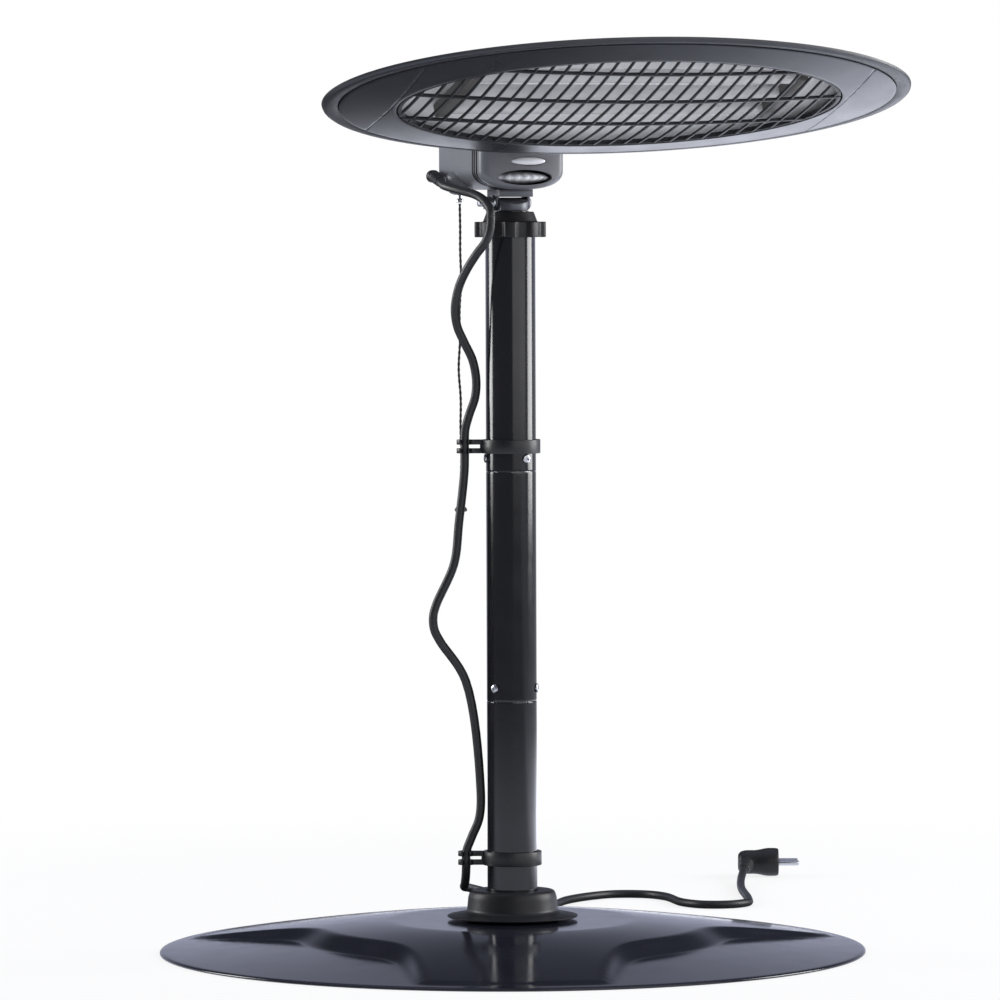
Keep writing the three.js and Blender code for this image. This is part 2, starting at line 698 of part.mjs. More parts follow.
// A +Z shape laid along the hinge axis, +Z becoming the head's +X.
function alongHinge(body) {
  return moved(body, shift(0, 0, HINGE_Z).multiply(turnY(Math.PI / 2)));
}

function makeTiltHinge() {
  const plate = block(
    -BRACKET_HALF_WIDTH,
    BRACKET_HALF_WIDTH,
    -BRACKET_HALF_DEPTH,
    BRACKET_HALF_DEPTH,
    BRACKET_PLATE_Z,
    BRACKET_PLATE_Z + BRACKET_PLATE_THICKNESS,
  );
  const earOuter = EAR_SPACING + EAR_THICKNESS;
  const hole = alongHinge(rod(TILT_BOLT_RADIUS + FIT, -earOuter - 1, earOuter + 1, 20));
  const ears = [-1, 1].flatMap((side) => {
    const [e0, e1] = [EAR_SPACING * side, earOuter * side].sort((a, b) => a - b);
    return [
      alongHinge(rod(EAR_RADIUS, e0, e1, 28)),
      block(e0, e1, -EAR_RADIUS, EAR_RADIUS, HINGE_Z, BRACKET_PLATE_Z + 1),
    ];
  });
  mesh("tilt_bracket", cut(join(plate, ...ears), hole), HEAD_GREY, head);

  const headSeat = earOuter + FIT;
  const bolt = join(
    rod(TILT_BOLT_RADIUS, -TILT_BOLT_TAIL, headSeat + 1, 18),
    turned(
      [
        [0, headSeat],
        [TILT_BOLT_HEAD_RADIUS, headSeat],
        [TILT_BOLT_HEAD_RADIUS * 0.7, headSeat + TILT_BOLT_HEAD_HEIGHT],
        [0, headSeat + TILT_BOLT_HEAD_HEIGHT],
      ],
      18,
    ),
  );
  mesh("tilt_bolt", alongHinge(bolt), STEEL, head);

  const nutBore = TILT_BOLT_RADIUS + FIT;
  const nutEnd = headSeat + LOCK_NUT_LENGTH;
  const nut = join(
    tube(LOCK_NUT_RADIUS, nutBore, -nutEnd, -headSeat - 1, 6),
    tube(LOCK_NUT_RADIUS + FIT, nutBore, -headSeat - 1.4, -headSeat, 18),
  );
  mesh("tilt_lock_nut", alongHinge(cut(nut, rod(nutBore, -nutEnd - 1, 0, 18))), STEEL, head);
}

// ---------------------------------------------------------------- control box
// The box's section: flat top, upright sides and a rounded belly, drawn inset by a wall.
function boxSection(inset) {
  const half = BOX_HALF_WIDTH - inset;
  const belly = BOX_STRAIGHT_Z - BOX_BOTTOM_Z - inset;
  const count = 20;
  const points = [];
  for (let i = 0; i <= count; i++) {
    const e = -half * Math.cos((Math.PI * i) / count);
    const share = 1 - (Math.abs(e) / half) ** BOX_CURVE_POWER;
    points.push(new THREE.Vector2(e, BOX_STRAIGHT_Z - belly * share ** (1 / BOX_CURVE_POWER)));
  }
  points.push(new THREE.Vector2(half, BOX_TOP_Z - inset));
  points.push(new THREE.Vector2(-half, BOX_TOP_Z - inset));
  return new THREE.Shape(points);
}

// The box's outer block from d0 to d1 with its edges rounded at both ends.
function boxBlock(d0, d1, edge) {
  const made = new THREE.ExtrudeGeometry(boxSection(edge), {
    depth: d1 - d0 - 2 * edge,
    bevelThickness: edge,
    bevelSize: edge,
    bevelSegments: 2,
  });
  return solid(made.translate(0, 0, d0 + edge).rotateX(Math.PI / 2));
}

const halfSpace = (d0, d1) => block(-200, 200, -d1, -d0, BOX_BOTTOM_Z - 100, BOX_TOP_Z + 100);

function makeControlBox() {
  const spare = 20;
  const backBlock = boxBlock(BOX_BACK_D, BOX_SEAM_D + spare, BOX_EDGE_ROUND);
  const boss = moved(
    turned(
      [
        [0, PULL_BOSS_BOTTOM_Z],
        [PULL_BOSS_RADIUS * 0.6, PULL_BOSS_BOTTOM_Z + 1],
        [PULL_BOSS_RADIUS * 0.92, PULL_BOSS_BOTTOM_Z + 3.4],
        [PULL_BOSS_RADIUS, PULL_BOSS_BOTTOM_Z + 6.5],
        [PULL_BOSS_RADIUS, BOX_STRAIGHT_Z - 4],
        [0, BOX_STRAIGHT_Z + 4],
      ],
      28,
    ),
    shift(PULL_E, -PULL_D, 0),
  );
  const stemHole = glandStem(GLAND_STEM_RADIUS + FIT, -BOX_HALF_WIDTH + BOX_WALL + 4);
  const hollow = frontPrism(boxSection(BOX_WALL), BOX_BACK_D + BOX_WALL, BOX_SEAM_D + spare + 5);
  const rodBore = moved(
    rod(PULL_ROD_RADIUS + FIT, PULL_BOSS_BOTTOM_Z - 1, BOX_STRAIGHT_Z + 2, 16),
    shift(PULL_E, -PULL_D, 0),
  );
  const rear = cut(
    join(backBlock, boss),
    halfSpace(BOX_SEAM_D, BOX_SEAM_D + 100),
    hollow,
    rodBore,
    stemHole,
  );
  mesh("control_box_rear", rear, BOX_GREY, head);

  const gasketBack = BOX_SEAM_D + FIT;
  const gasketFront = gasketBack + GASKET_THICKNESS;
  const gasket = cut(
    frontPrism(boxSection(GASKET_RECESS), gasketBack, gasketFront),
    frontPrism(boxSection(BOX_WALL), gasketBack - 1, gasketFront + 1),
  );
  mesh("box_gasket", gasket, MATTE_BLACK, head);

  const coverBack = gasketFront + FIT;
  const crown = moved(
    rod(BOX_CROWN_RADIUS, BOX_BOTTOM_Z - 20, BOX_TOP_Z + 20, 96),
    shift(0, BOX_CROWN_RADIUS - BOX_FRONT_D, 0),
  );
  const coverBlock = boxBlock(coverBack - spare, BOX_FRONT_D, BOX_EDGE_ROUND + 0.5).intersect(crown);
  const cover = cut(
    coverBlock,
    halfSpace(coverBack - 100, coverBack),
    frontPrism(boxSection(BOX_WALL), coverBack - 5, BOX_FRONT_D - 3.6),
    frontPrism(ellipseShape(...DIAL_WINDOW, 0, DIAL_Z), coverBack, BOX_FRONT_D + 5),
    frontPrism(
      ellipseShape(LENS_HALF_SIZE[0] + FIT, LENS_HALF_SIZE[1] + FIT, ...LENS_CENTRE),
      coverBack,
      BOX_FRONT_D + 5,
    ),
  );
  mesh("control_box_front", cover, BOX_GREY, head);

  const lens = new THREE.SphereGeometry(1, 16, 10).scale(
    LENS_HALF_SIZE[0],
    LENS_HALF_DEPTH,
    LENS_HALF_SIZE[1],
  );
  lens.translate(LENS_CENTRE[0], -LENS_D, LENS_CENTRE[1]);
  mesh("indicator_lens", solid(lens), LIGHT_GREY, head);
}

// A ribbed barrel on an upright shaft, whose front shows through the cover's oval window.
function makeHeatDial() {
  const levels = [-1, -0.7, 0, 0.7, 1];
  const bore = DIAL_SHAFT_RADIUS + FIT;
  const profileAt = (angle) => {
    const rib = DIAL_RIB_DEPTH * Math.cos(DIAL_RIBS * angle);
    const rim = levels.map((level) => [
      DIAL_RADIUS - DIAL_RIB_DEPTH - DIAL_END_DROP * level ** 2 + rib * (1 - level ** 2),
      DIAL_Z + DIAL_HALF_HEIGHT * level,
    ]);
    return [[bore, DIAL_Z - DIAL_HALF_HEIGHT], ...rim, [bore, DIAL_Z + DIAL_HALF_HEIGHT]];
  };
  const dial = moved(ringLoft(profileAt, evenAngles(3 * DIAL_RIBS)), shift(0, -DIAL_D, 0));
  mesh("heat_dial", dial, LIGHT_GREY, head);

  const ceiling = BOX_TOP_Z - BOX_WALL - FIT;
  const shaft = moved(
    rod(DIAL_SHAFT_RADIUS, DIAL_Z - DIAL_HALF_HEIGHT + 1, SWITCH_BOTTOM_Z + 1, 16),
    shift(0, -DIAL_D, 0),
  );
  const body = block(-14, 14, -DIAL_D - 13, -DIAL_D + 13, SWITCH_BOTTOM_Z, ceiling);
  mesh("heat_switch", join(body, shaft), MATTE_BLACK, head);
}

function makeBoxInternals() {
  const ceiling = BOX_TOP_Z - BOX_WALL - FIT;
  const backWall = -(BOX_BACK_D + BOX_WALL + FIT);
  const pullY = -PULL_D;
  const pullSwitch = block(
    PULL_E - 2,
    PULL_E + 16,
    pullY - 12,
    pullY + 12,
    PULL_SWITCH_BOTTOM_Z,
    ceiling,
  );
  mesh("pull_switch", pullSwitch, MATTE_BLACK, head);
  const screwWells = [0, 1, 2].map((i) =>
    moved(rod(2.2, 634, 646, 12), shift(12 + i * 8, backWall - 16, 0)),
  );
  const terminals = cut(block(7, 33, backWall - 16, backWall, 630, 642), ...screwWells);
  mesh("terminal_block", terminals, CERAMIC, head);
  const tipSwitch = join(
    block(-12, 4, backWall - 14, backWall, 618, 634),
    moved(rod(3, 614.5, 619, 14), shift(-4, backWall - 7, 0)),
  );
  mesh("tip_over_switch", tipSwitch, MATTE_BLACK, head);
}

function makePull() {
  const at = shift(PULL_E, -PULL_D, 0);
  const loopZ = PULL_PIVOT_Z - 1.2;
  const rodTop = PULL_SWITCH_BOTTOM_Z - FIT;
  const plunger = turned(
    [
      [0, loopZ],
      [PULL_ROD_RADIUS + 0.9, loopZ],
      [PULL_ROD_RADIUS + 0.9, loopZ + 2.4],
      [PULL_ROD_RADIUS, loopZ + 3.2],
      [PULL_ROD_RADIUS, rodTop],
      [0, rodTop],
    ],
    16,
  );
  mesh("pull_plunger", moved(plunger, at), STEEL, head);
  const cordTop = loopZ - PULL_SWING_GAP;
  mesh(
    "pull_cord",
    moved(rod(PULL_CORD_RADIUS, PULL_CORD_BOTTOM_Z, cordTop, 8), at),
    CORD_BLACK,
    head,
  );
  const bellTop = PULL_CORD_BOTTOM_Z - FIT;
  const bell = turned(
    [
      [0, bellTop - PULL_BELL_HEIGHT],
      [PULL_BELL_RADIUS - 0.8, bellTop - PULL_BELL_HEIGHT],
      [PULL_BELL_RADIUS, bellTop - PULL_BELL_HEIGHT + 1.2],
      [PULL_BELL_RADIUS * 0.55, bellTop - 3.5],
      [PULL_CORD_RADIUS + 0.8, bellTop],
      [0, bellTop],
    ],
    16,
  );
  mesh("pull_bell", moved(bell, at), MATTE_BLACK, head);
}

// A rod across the box's left wall, from inside the gland to a place inside the box.
function glandStem(radius, innerE) {
  const across = shift(0, -GLAND_STEM_D, GLAND_Z).multiply(turnY(Math.PI / 2));
  return moved(rod(radius, GLAND_E, innerE, 14), across);
}

// The elbow gland on the box's left side, and the tapered relief that leads the cord forward.
function makeCordOutlet() {
  const [backD, frontD] = GLAND_DS;
  const length = frontD - backD;
  const elbow = moved(
    turned(
      [
        [0, 0],
        [GLAND_RADIUS - 2, 0],
        [GLAND_RADIUS, 2],
        [GLAND_RADIUS, length],
        [0, length],
      ],
      20,
    ),
    shift(GLAND_E, -backD, GLAND_Z).multiply(turnX(Math.PI / 2)),
  );
  const stem = glandStem(GLAND_STEM_RADIUS, -BOX_HALF_WIDTH + BOX_WALL + 3);
  mesh("cord_gland", join(elbow, stem), MATTE_BLACK, head);

  const from = vec(GLAND_E, -frontD, GLAND_Z);
  const to = vec(GLAND_E + RELIEF_LEAN[0], -frontD - RELIEF_LENGTH, GLAND_Z + RELIEF_LEAN[1]);
  const lift = 1.9; // clears the gland's face although the relief leans
  const relief = turned(
    [
      [0, lift],
      [RELIEF_RADIUS, lift],
      [RELIEF_RADIUS, lift + 2],
      [RELIEF_RADIUS - 0.4, lift + 3],
      [CORD_RADIUS + 0.6, RELIEF_LENGTH],
      [0, RELIEF_LENGTH],
    ],
    20,
  );
  mesh("strain_relief", aimed(relief, from, to), CORD_BLACK, head);
  return { from, to };
}

// ---------------------------------------------------------------- oval head
const STRETCH = HEAD_HALF_LENGTH / HEAD_HALF_WIDTH;
const OPENING_STRETCH = OPENING_HALF_LENGTH / OPENING_HALF_WIDTH;
const OVAL_FACETS = 60;

function makeBackShell() {
  const shares = [0, 0.3, 0.5, 0.68, 0.82, 0.92, 1];
  const dome = (radius, rim, top) =>
    shares.map((s) => [radius * s, rim + (top - rim) * (1 - s * s)]);
  const lipRadius = HEAD_HALF_WIDTH - SHELL_LIP;
  const outside = oval(
    [
      ...dome(HEAD_HALF_WIDTH, SHELL_RIM_HEIGHT, SHELL_HEIGHT),
      [HEAD_HALF_WIDTH - 0.6, 0.4],
      [HEAD_HALF_WIDTH - 2, -0.4],
      [lipRadius, -0.4],
      [0, -0.4],
    ],
    STRETCH,
    OVAL_FACETS,
  );
  const inside = oval(
    [
      ...dome(lipRadius, SHELL_RIM_HEIGHT, SHELL_HEIGHT - SHELL_WALL),
      [lipRadius, -1],
      [0, -1],
    ],
    STRETCH,
    OVAL_FACETS,
  );
  const neckBottom = BOX_TOP_Z + FIT;
  const neckShape = new THREE.Shape().moveTo(NECK_BACK_D, neckBottom);
  for (const [d, rise] of [...NECK_UNDERSIDE, NECK_END]) neckShape.lineTo(d, neckBottom + rise);
  neckShape
    .quadraticCurveTo(NECK_CROWN[0], neckBottom + NECK_CROWN[1], NECK_BACK[0], neckBottom + NECK_BACK[1])
    .quadraticCurveTo(NECK_HOLLOW[0], neckBottom + NECK_HOLLOW[1], NECK_BACK_D, neckBottom);
  const neck = moved(
    prism(neckShape, -NECK_HALF_WIDTH, NECK_HALF_WIDTH, 6),
    turnZ(-Math.PI / 2).multiply(turnX(Math.PI / 2)),
  );
  lamp.updateMatrix();
  const toLamp = lamp.matrix.clone().invert();
  mesh("back_shell", cut(join(outside, moved(neck, toLamp)), inside), HEAD_GREY, lamp);
}

// The cover's crowned outer face, by its radius on the short axis.
const COVER_EDGE = HEAD_HALF_WIDTH - SHELL_LIP - FIT;
const coverFace = (r) => -1 - COVER_CROWN * (1 - (r / COVER_EDGE) ** 2);

function makeFrontCover() {
  const radii = [0, 0.55, 0.72, 0.84, 0.93, 1].map((share) => share * COVER_EDGE);
  const sheet = oval(
    [
      ...radii.map((r) => [r, coverFace(r)]),
      ...radii.map((r) => [r, coverFace(r) + COVER_THICKNESS]).reverse(),
    ],
    STRETCH,
    OVAL_FACETS,
  );
  const window = prism(ellipseShape(OPENING_HALF_LENGTH, OPENING_HALF_WIDTH), -30, 10, 36);
  const far = 2 * HEAD_HALF_LENGTH;
  const part = (p0, p1) => sheet.intersect(block(p0, p1, -far, far, -far, far));
  const gapped = SEAM_P + FIT;
  mesh("front_frame", cut(part(-SEAM_P, SEAM_P), window), HEAD_GREY, lamp);
  mesh("end_cap_left", part(-far, -gapped), HEAD_GREY, lamp);
  mesh("end_cap_right", part(gapped, far), HEAD_GREY, lamp);
}

function grilleSurface(p, q) {
  const share = (p / OPENING_HALF_LENGTH) ** 2 + (q / OPENING_HALF_WIDTH) ** 2;
  return lerp(-GRILLE_DEPTH, -GRILLE_RIM_DEPTH, share);
}

// Cross ribs and long bars, on a ring that lies behind the edge of the cover's window.
function makeGrille() {
  const halfLength = OPENING_HALF_LENGTH - 2 * FIT;
  const halfWidth = OPENING_HALF_WIDTH - 2 * FIT;
  const flangeEnd = (halfLength + (GRILLE_RING * halfLength) / halfWidth) / STRETCH;
  const ringBottom = coverFace(flangeEnd) + COVER_THICKNESS + FIT;
  const ringTop = ringBottom + GRILLE_RING_THICKNESS;
  const lip = 2;
  const ring = oval(
    [
      [halfWidth - lip, -GRILLE_RIM_DEPTH + 0.8],
      [halfWidth - 0.2, -GRILLE_RIM_DEPTH + 0.8],
      [halfWidth - 0.2, ringBottom],
      [halfWidth + GRILLE_RING, ringBottom],
      [halfWidth + GRILLE_RING, ringTop],
      [halfWidth - lip, ringTop],
    ],
    halfLength / halfWidth,
    48,
  );
  const band = halfWidth - lip;
  const stretch = halfLength / halfWidth;
  const inside = ovalCorners(band, stretch, 48);
  const outline = new THREE.Shape(ovalCorners(halfWidth - 0.6, stretch, 48));
  const openings = [];
  const ribs = Math.ceil(halfLength / RIB_PITCH);
  const rows = [-halfWidth, ...BAR_QS, halfWidth];
  for (let i = -ribs; i < ribs; i++)
    for (let j = 0; j + 1 < rows.length; j++) {
      const [p0, p1] = [i * RIB_PITCH + RIB_WIDTH / 2, (i + 1) * RIB_PITCH - RIB_WIDTH / 2];
      const [q0, q1] = [rows[j] + BAR_WIDTH / 2, rows[j + 1] - BAR_WIDTH / 2];
      const cell = [[p0, q0], [p1, q0], [p1, q1], [p0, q1]].map(([p, q]) => new THREE.Vector2(p, q));
      const opening = clipped(cell, inside);
      if (opening.length > 2 && THREE.ShapeUtils.area(opening) > 12)
        openings.push(prism(new THREE.Shape(opening), -1, GRILLE_BAR_HEIGHT + 1));
    }
  const lattice = geometryOf(cut(prism(outline, 0, GRILLE_BAR_HEIGHT), ...openings));
  const at = lattice.attributes.position;
  for (let i = 0; i < at.count; i++) at.setZ(i, at.getZ(i) + grilleSurface(at.getX(i), at.getY(i)));
  mesh("grille", join(ring, solid(lattice)), GRILLE_BLACK, lamp);
  return ringTop;
}

const ovalCorners = (radius, stretch, facets) =>
  evenAngles(facets).map(
    (a) => new THREE.Vector2(radius * stretch * Math.cos(a), radius * Math.sin(a)),
  );

// The part of a polygon that lies inside a convex outline, both anticlockwise.
function clipped(polygon, outline) {
  let kept = polygon;
  outline.forEach((corner, i) => {
    const edge = outline[(i + 1) % outline.length].clone().sub(corner);
    const next = [];
    kept.forEach((from, k) => {
      const to = kept[(k + 1) % kept.length];
      const before = edge.cross(from.clone().sub(corner));
      const after = edge.cross(to.clone().sub(corner));
      if (before >= 0) next.push(from);
      if (before * after < 0) next.push(from.clone().lerp(to, before / (before - after)));
    });
    kept = next;
  });
  return kept.filter((here, k) => here.distanceTo(kept[(k + 1) % kept.length]) > 0.05);
}

function makeReflectorAndElements(ringTop) {
  const rim = ringTop + FIT;
  const radius = OPENING_HALF_WIDTH + GRILLE_RING;
  const shares = [0, 0.45, 0.72, 0.89, 0.97, 1];
  const dish = (extra) =>
    shares.map((s) => [radius * s, rim + (REFLECTOR_DEPTH - rim) * Math.sqrt(1 - s ** 2.4) + extra]);
  const reflector = oval(
    [...dish(0), ...dish(REFLECTOR_WALL).reverse()],
    OPENING_STRETCH,
    48,
  );
  mesh("reflector", reflector, POLISHED, lamp);

  ELEMENT_QS.forEach((q, i) => {
    const element = moved(
      tube(ELEMENT_RADIUS, ELEMENT_RADIUS - 1, -ELEMENT_HALF_LENGTH + FIT, ELEMENT_HALF_LENGTH - FIT, 16),
      shift(0, q, ELEMENT_Z).multiply(turnY(Math.PI / 2)),
    );
    mesh(`heating_element_${i + 1}`, element, QUARTZ, lamp);
  });
  const first = ELEMENT_QS[0] - ELEMENT_RADIUS - 2;
  const last = ELEMENT_QS.at(-1) + ELEMENT_RADIUS + 2;
  const end = ELEMENT_HALF_LENGTH + HOLDER_LENGTH;
  const outerShare = Math.hypot(
    end / (radius * OPENING_STRETCH),
    Math.max(-first, last) / radius,
  );
  const dishAt = rim + (REFLECTOR_DEPTH - rim) * Math.sqrt(1 - outerShare ** 2.4);
  for (const [name, side] of [["element_holder_left", -1], ["element_holder_right", 1]]) {
    const [p0, p1] = [side * ELEMENT_HALF_LENGTH, side * end].sort((a, b) => a - b);
    const bottom = ELEMENT_Z - ELEMENT_RADIUS - 2 * FIT;
    mesh(name, block(p0, p1, first, last, bottom, dishAt - 3 * FIT), CERAMIC, lamp);
  }
}

// ---------------------------------------------------------------- mains cord and plug
// Each stretch is a list of hand-placed points, joined by one smooth curve.
const CORD_HEAD_ROUTE = [
  [-53.4, 8.6, 614.8],
  [-47, -0.5, 612.4],
  [-38.4, -9.4, 610],
  [-29, -18, 607.4],
  [-21.4, -26.4, 603],
  [-16.8, -32.4, 597],
  [-15.4, -36, 592.5],
  [-15.4, -36, 589.95],
];
const CORD_UPPER_ROUTE = [
  [-15.4, -36, 589.65],
  [-15.4, -36, 585],
  [-16.6, -35.6, 577],
  [-20, -33, 569],
  [-27, -28, 559.6],
  [-35.5, -20, 546],
  [-41.5, -12, 532],
  [-44.3, -6.5, 516],
  [-42.6, -4, 502],
  [-37, -3, 489],
  [-30.5, -2.5, 475],
  [-27.6, -2, 459],
  [-28.6, -1.5, 445],
  [-33, -0.8, 432],
  [-36.4, 0, 420],
  [-37, 0, 411],
  [-37, 0, 400.9],
];
const CORD_LOWER_ROUTE = [
  [-37, 0, 400.6],
  [-37.4, 0, 385],
  [-41.8, 0, 345],
  [-45.9, -0.5, 311.5],
  [-60.1, -1.3, 279.4],
  [-62.7, -1.4, 269.6],
  [-61.9, -1.4, 259.2],
  [-57.4, -1.2, 249.8],
  [-37, -0.2, 218],
  [-25.4, 0, 134],
  [-26.3, 0, 108],
  [-32.6, 0, 92],
  [-36.8, 0, 80.5],
  [-37, 0.25, 69.3],
  [-37.4, 4, 60.8],
  [-38.2, 12.4, 53.3],
  [-38.8, 22, 50],
  [-35, 37, 47.6],
  [-22, 54, 42.5],
  [-7, 70, 36.5],
  [6, 98, 30],
  [11.5, 124, 28.1],
  [15, 155, 24.3],
  [18.5, 190, 14.4],
  [25, 245, 9.5],
  [36, 320, 3.7],
  [46.5, 362, 3.7],
  [68.7, 397.5, 3.7],
  [89.9, 413.8, 3.7],
  [115.4, 410.9, 3.7],
  [131.5, 393.1, 3.7],
  [146.5, 340.8, 3.7],
  [163.1, 323.1, 3.7],
  [185.8, 323.5, 3.7],
  [200.9, 339.1, 3.7],
  [203, 366, 3.7],
  [200.4, 460, 3.7],
  [202.4, 524, 5.6],
];

function cordTube(points, sides = 8, stepLength = 2.5 * 2 * CORD_RADIUS) {
  const curve = new THREE.CatmullRomCurve3(points, false, "centripetal");
  const section = new THREE.Shape(
    evenAngles(sides).map((a) => new THREE.Vector2(CORD_RADIUS * Math.cos(a), CORD_RADIUS * Math.sin(a))),
  );
  const steps = Math.min(80, Math.round(curve.getLength() / stepLength));
  return solid(
    new THREE.ExtrudeGeometry(section, { steps, extrudePath: curve, bevelEnabled: false }),
  );
}

function makeMainsCord(relief) {
  const reliefTip = relief.to.clone().lerp(relief.from, -FIT / RELIEF_LENGTH);
  head.updateMatrix();
  const start = reliefTip.applyMatrix4(head.matrix);
  const along = relief.to.clone().sub(relief.from).normalize().transformDirection(head.matrix);
  const route = [start, start.clone().addScaledVector(along, 6), ...CORD_HEAD_ROUTE.map((p) => vec(...p))];
  mesh("mains_cord_head", cordTube(route, 10, 8), CORD_BLACK, tower);
  const upper = CORD_UPPER_ROUTE.map((p) => vec(...p));
  mesh("mains_cord_upper", cordTube(upper, 10, 10), CORD_BLACK, tower);
  const tip = vec(...PLUG_BOOT_TIP);
  const bootAxis = vec(...PLUG_FRONT).sub(tip).normalize();
  const lower = [
    ...CORD_LOWER_ROUTE.map((p) => vec(...p)),
    tip.clone().addScaledVector(bootAxis, -5),
    tip.clone().addScaledVector(bootAxis, -FIT),
  ];
  mesh("mains_cord_lower", cordTube(lower), CORD_BLACK, tower);
}

function makePlug() {
  const [x, y, z] = PLUG_FRONT;
  const bodyLeft = x - PLUG_WAIST + 2.6;
  const bodyRight = bodyLeft + PLUG_LENGTH;
  const axisY = y + PLUG_WAIST;
  const body = moved(
    turned(
      [
        [0, 0],
        [PLUG_WAIST - 3.4, 0],
        [PLUG_WAIST - 0.9, 2.5],
        [PLUG_WAIST, 7],
        [PLUG_WAIST, 15],
        [PLUG_RADIUS, 25],
        [PLUG_RADIUS, PLUG_LENGTH - 3],
        [PLUG_RADIUS - 0.7, PLUG_LENGTH],
        [0, PLUG_LENGTH],
      ],
      28,
    ),
    shift(bodyLeft, axisY, z).multiply(turnY(Math.PI / 2)),
  );
  mesh("plug_body", body, MATTE_BLACK, tower);
  for (const [name, side] of [["plug_pin_1", -1], ["plug_pin_2", 1]]) {
    const start = bodyRight + FIT;
    const pin = turned(
      [
        [0, start],
        [PLUG_PIN_RADIUS, start],
        [PLUG_PIN_RADIUS, start + PLUG_PIN_LENGTH - 1.5],
        [PLUG_PIN_RADIUS - 1, start + PLUG_PIN_LENGTH],
        [0, start + PLUG_PIN_LENGTH],
      ],
      14,
    );
    const place = shift(0, axisY + (side * PLUG_PIN_SPACING) / 2, z).multiply(turnY(Math.PI / 2));
    mesh(name, moved(pin, place), STEEL, tower);
  }
  const bootStart = vec(...PLUG_BOOT_TIP);
  const bootEnd = vec(x, y, z);
  const length = bootEnd.distanceTo(bootStart);
  const boot = turned(
    [
      [0, 0],
      [CORD_RADIUS + 0.7, 0],
      [CORD_RADIUS + 2.6, length - 5 * FIT],
      [0, length - 5 * FIT],
    ],
    18,
  );
  mesh("plug_boot", aimed(boot, bootStart, bootEnd), CORD_BLACK, tower);
}

// ---------------------------------------------------------------- assembly
makePole(makeBase());
makeBaseCollar();
makeCableClip("cable_clip_lower", CLIP_LOWER_Z);
makeCableClip("cable_clip_upper", CLIP_UPPER_Z);
makeTwistLock();
makeMast();
makeTiltHinge();
makeControlBox();
makeHeatDial();
makeBoxInternals();
makePull();
makeBackShell();
makeFrontCover();
makeReflectorAndElements(makeGrille());
makeMainsCord(makeCordOutlet());
makePlug();

export default tower;
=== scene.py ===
import math

import bmesh
import bpy
from mathutils import Matrix, Quaternion, Vector


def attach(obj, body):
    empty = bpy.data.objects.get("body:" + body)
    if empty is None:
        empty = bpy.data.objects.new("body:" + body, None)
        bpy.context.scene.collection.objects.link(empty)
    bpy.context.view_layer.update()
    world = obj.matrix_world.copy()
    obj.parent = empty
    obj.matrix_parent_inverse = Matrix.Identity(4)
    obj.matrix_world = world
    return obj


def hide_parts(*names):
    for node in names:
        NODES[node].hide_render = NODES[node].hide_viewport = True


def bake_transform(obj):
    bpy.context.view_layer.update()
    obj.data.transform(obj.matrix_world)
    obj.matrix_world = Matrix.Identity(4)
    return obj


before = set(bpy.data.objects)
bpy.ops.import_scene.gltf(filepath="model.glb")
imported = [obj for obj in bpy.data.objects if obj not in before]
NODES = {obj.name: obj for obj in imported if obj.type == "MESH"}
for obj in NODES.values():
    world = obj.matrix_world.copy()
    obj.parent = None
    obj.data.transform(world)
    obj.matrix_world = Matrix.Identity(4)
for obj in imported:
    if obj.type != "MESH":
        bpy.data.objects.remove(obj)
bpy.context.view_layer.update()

MM = 0.001
FIT = 0.3  # mm, gap between pieces that touch


def linked(name, data):
    """A new object in the scene."""
    made = bpy.data.objects.new(name, data)
    bpy.context.collection.objects.link(made)
    return made


# ------------------------------------------------------------------ camera
CAMERA_PLACE = (-0.0089, -5.36, 0.592)
CAMERA_LENS = 241.2
CAMERA_PITCH = 2.449  # degrees down
CAMERA_ROLL = 0.2  # degrees, the pole's top leans left
CAMERA_REACH = 100  # metres

camera_data = bpy.data.cameras.new("camera")
camera_data.lens = CAMERA_LENS
camera_data.clip_end = CAMERA_REACH
camera = linked("camera", camera_data)
camera.location = CAMERA_PLACE
camera.rotation_mode = "QUATERNION"
camera.rotation_quaternion = Quaternion((1, 0, 0), math.radians(90 - CAMERA_PITCH)) @ Quaternion(
    (0, 0, 1), math.radians(-CAMERA_ROLL)
)
bpy.context.scene.camera = camera


# ------------------------------------------------------------------ materials
def nodes_of(name):
    made = bpy.data.materials.new(name)
    made.use_nodes = True
    tree = made.node_tree
    return made, tree, tree.nodes["Principled BSDF"]


def put(node, values):
    """Sets a node's own sockets."""
    for socket, value in values.items():
        node.inputs[socket].default_value = value


def noise(tree, scale, detail=3, stretch=(1, 1, 1)):
    where = tree.nodes.new("ShaderNodeTexCoord")
    mapping = tree.nodes.new("ShaderNodeMapping")
    put(mapping, {"Scale": stretch})
    made = tree.nodes.new("ShaderNodeTexNoise")
    put(made, {"Scale": scale, "Detail": detail})
    tree.links.new(where.outputs["Object"], mapping.inputs["Vector"])
    tree.links.new(mapping.outputs["Vector"], made.inputs["Vector"])
    return made.outputs["Fac"]


def over_noise(tree, source, low, high):
    """A value that goes from low to high over the middle of a noise."""
    made = tree.nodes.new("ShaderNodeMapRange")
    put(made, {"From Min": 0.3, "From Max": 0.7, "To Min": low, "To Max": high})
    tree.links.new(source, made.inputs["Value"])
    return made.outputs["Result"]


def ramp(tree, source, low, high):
    """A colour that goes from low to high over the middle of a noise."""
    made = tree.nodes.new("ShaderNodeMix")
    made.data_type = "RGBA"
    tree.links.new(over_noise(tree, source, 0, 1), made.inputs["Factor"])
    made.inputs["A"].default_value = (*low, 1)
    made.inputs["B"].default_value = (*high, 1)
    return made.outputs["Result"]


PATCHES = 18.0  # noise scale of the slow shifts in colour and gloss


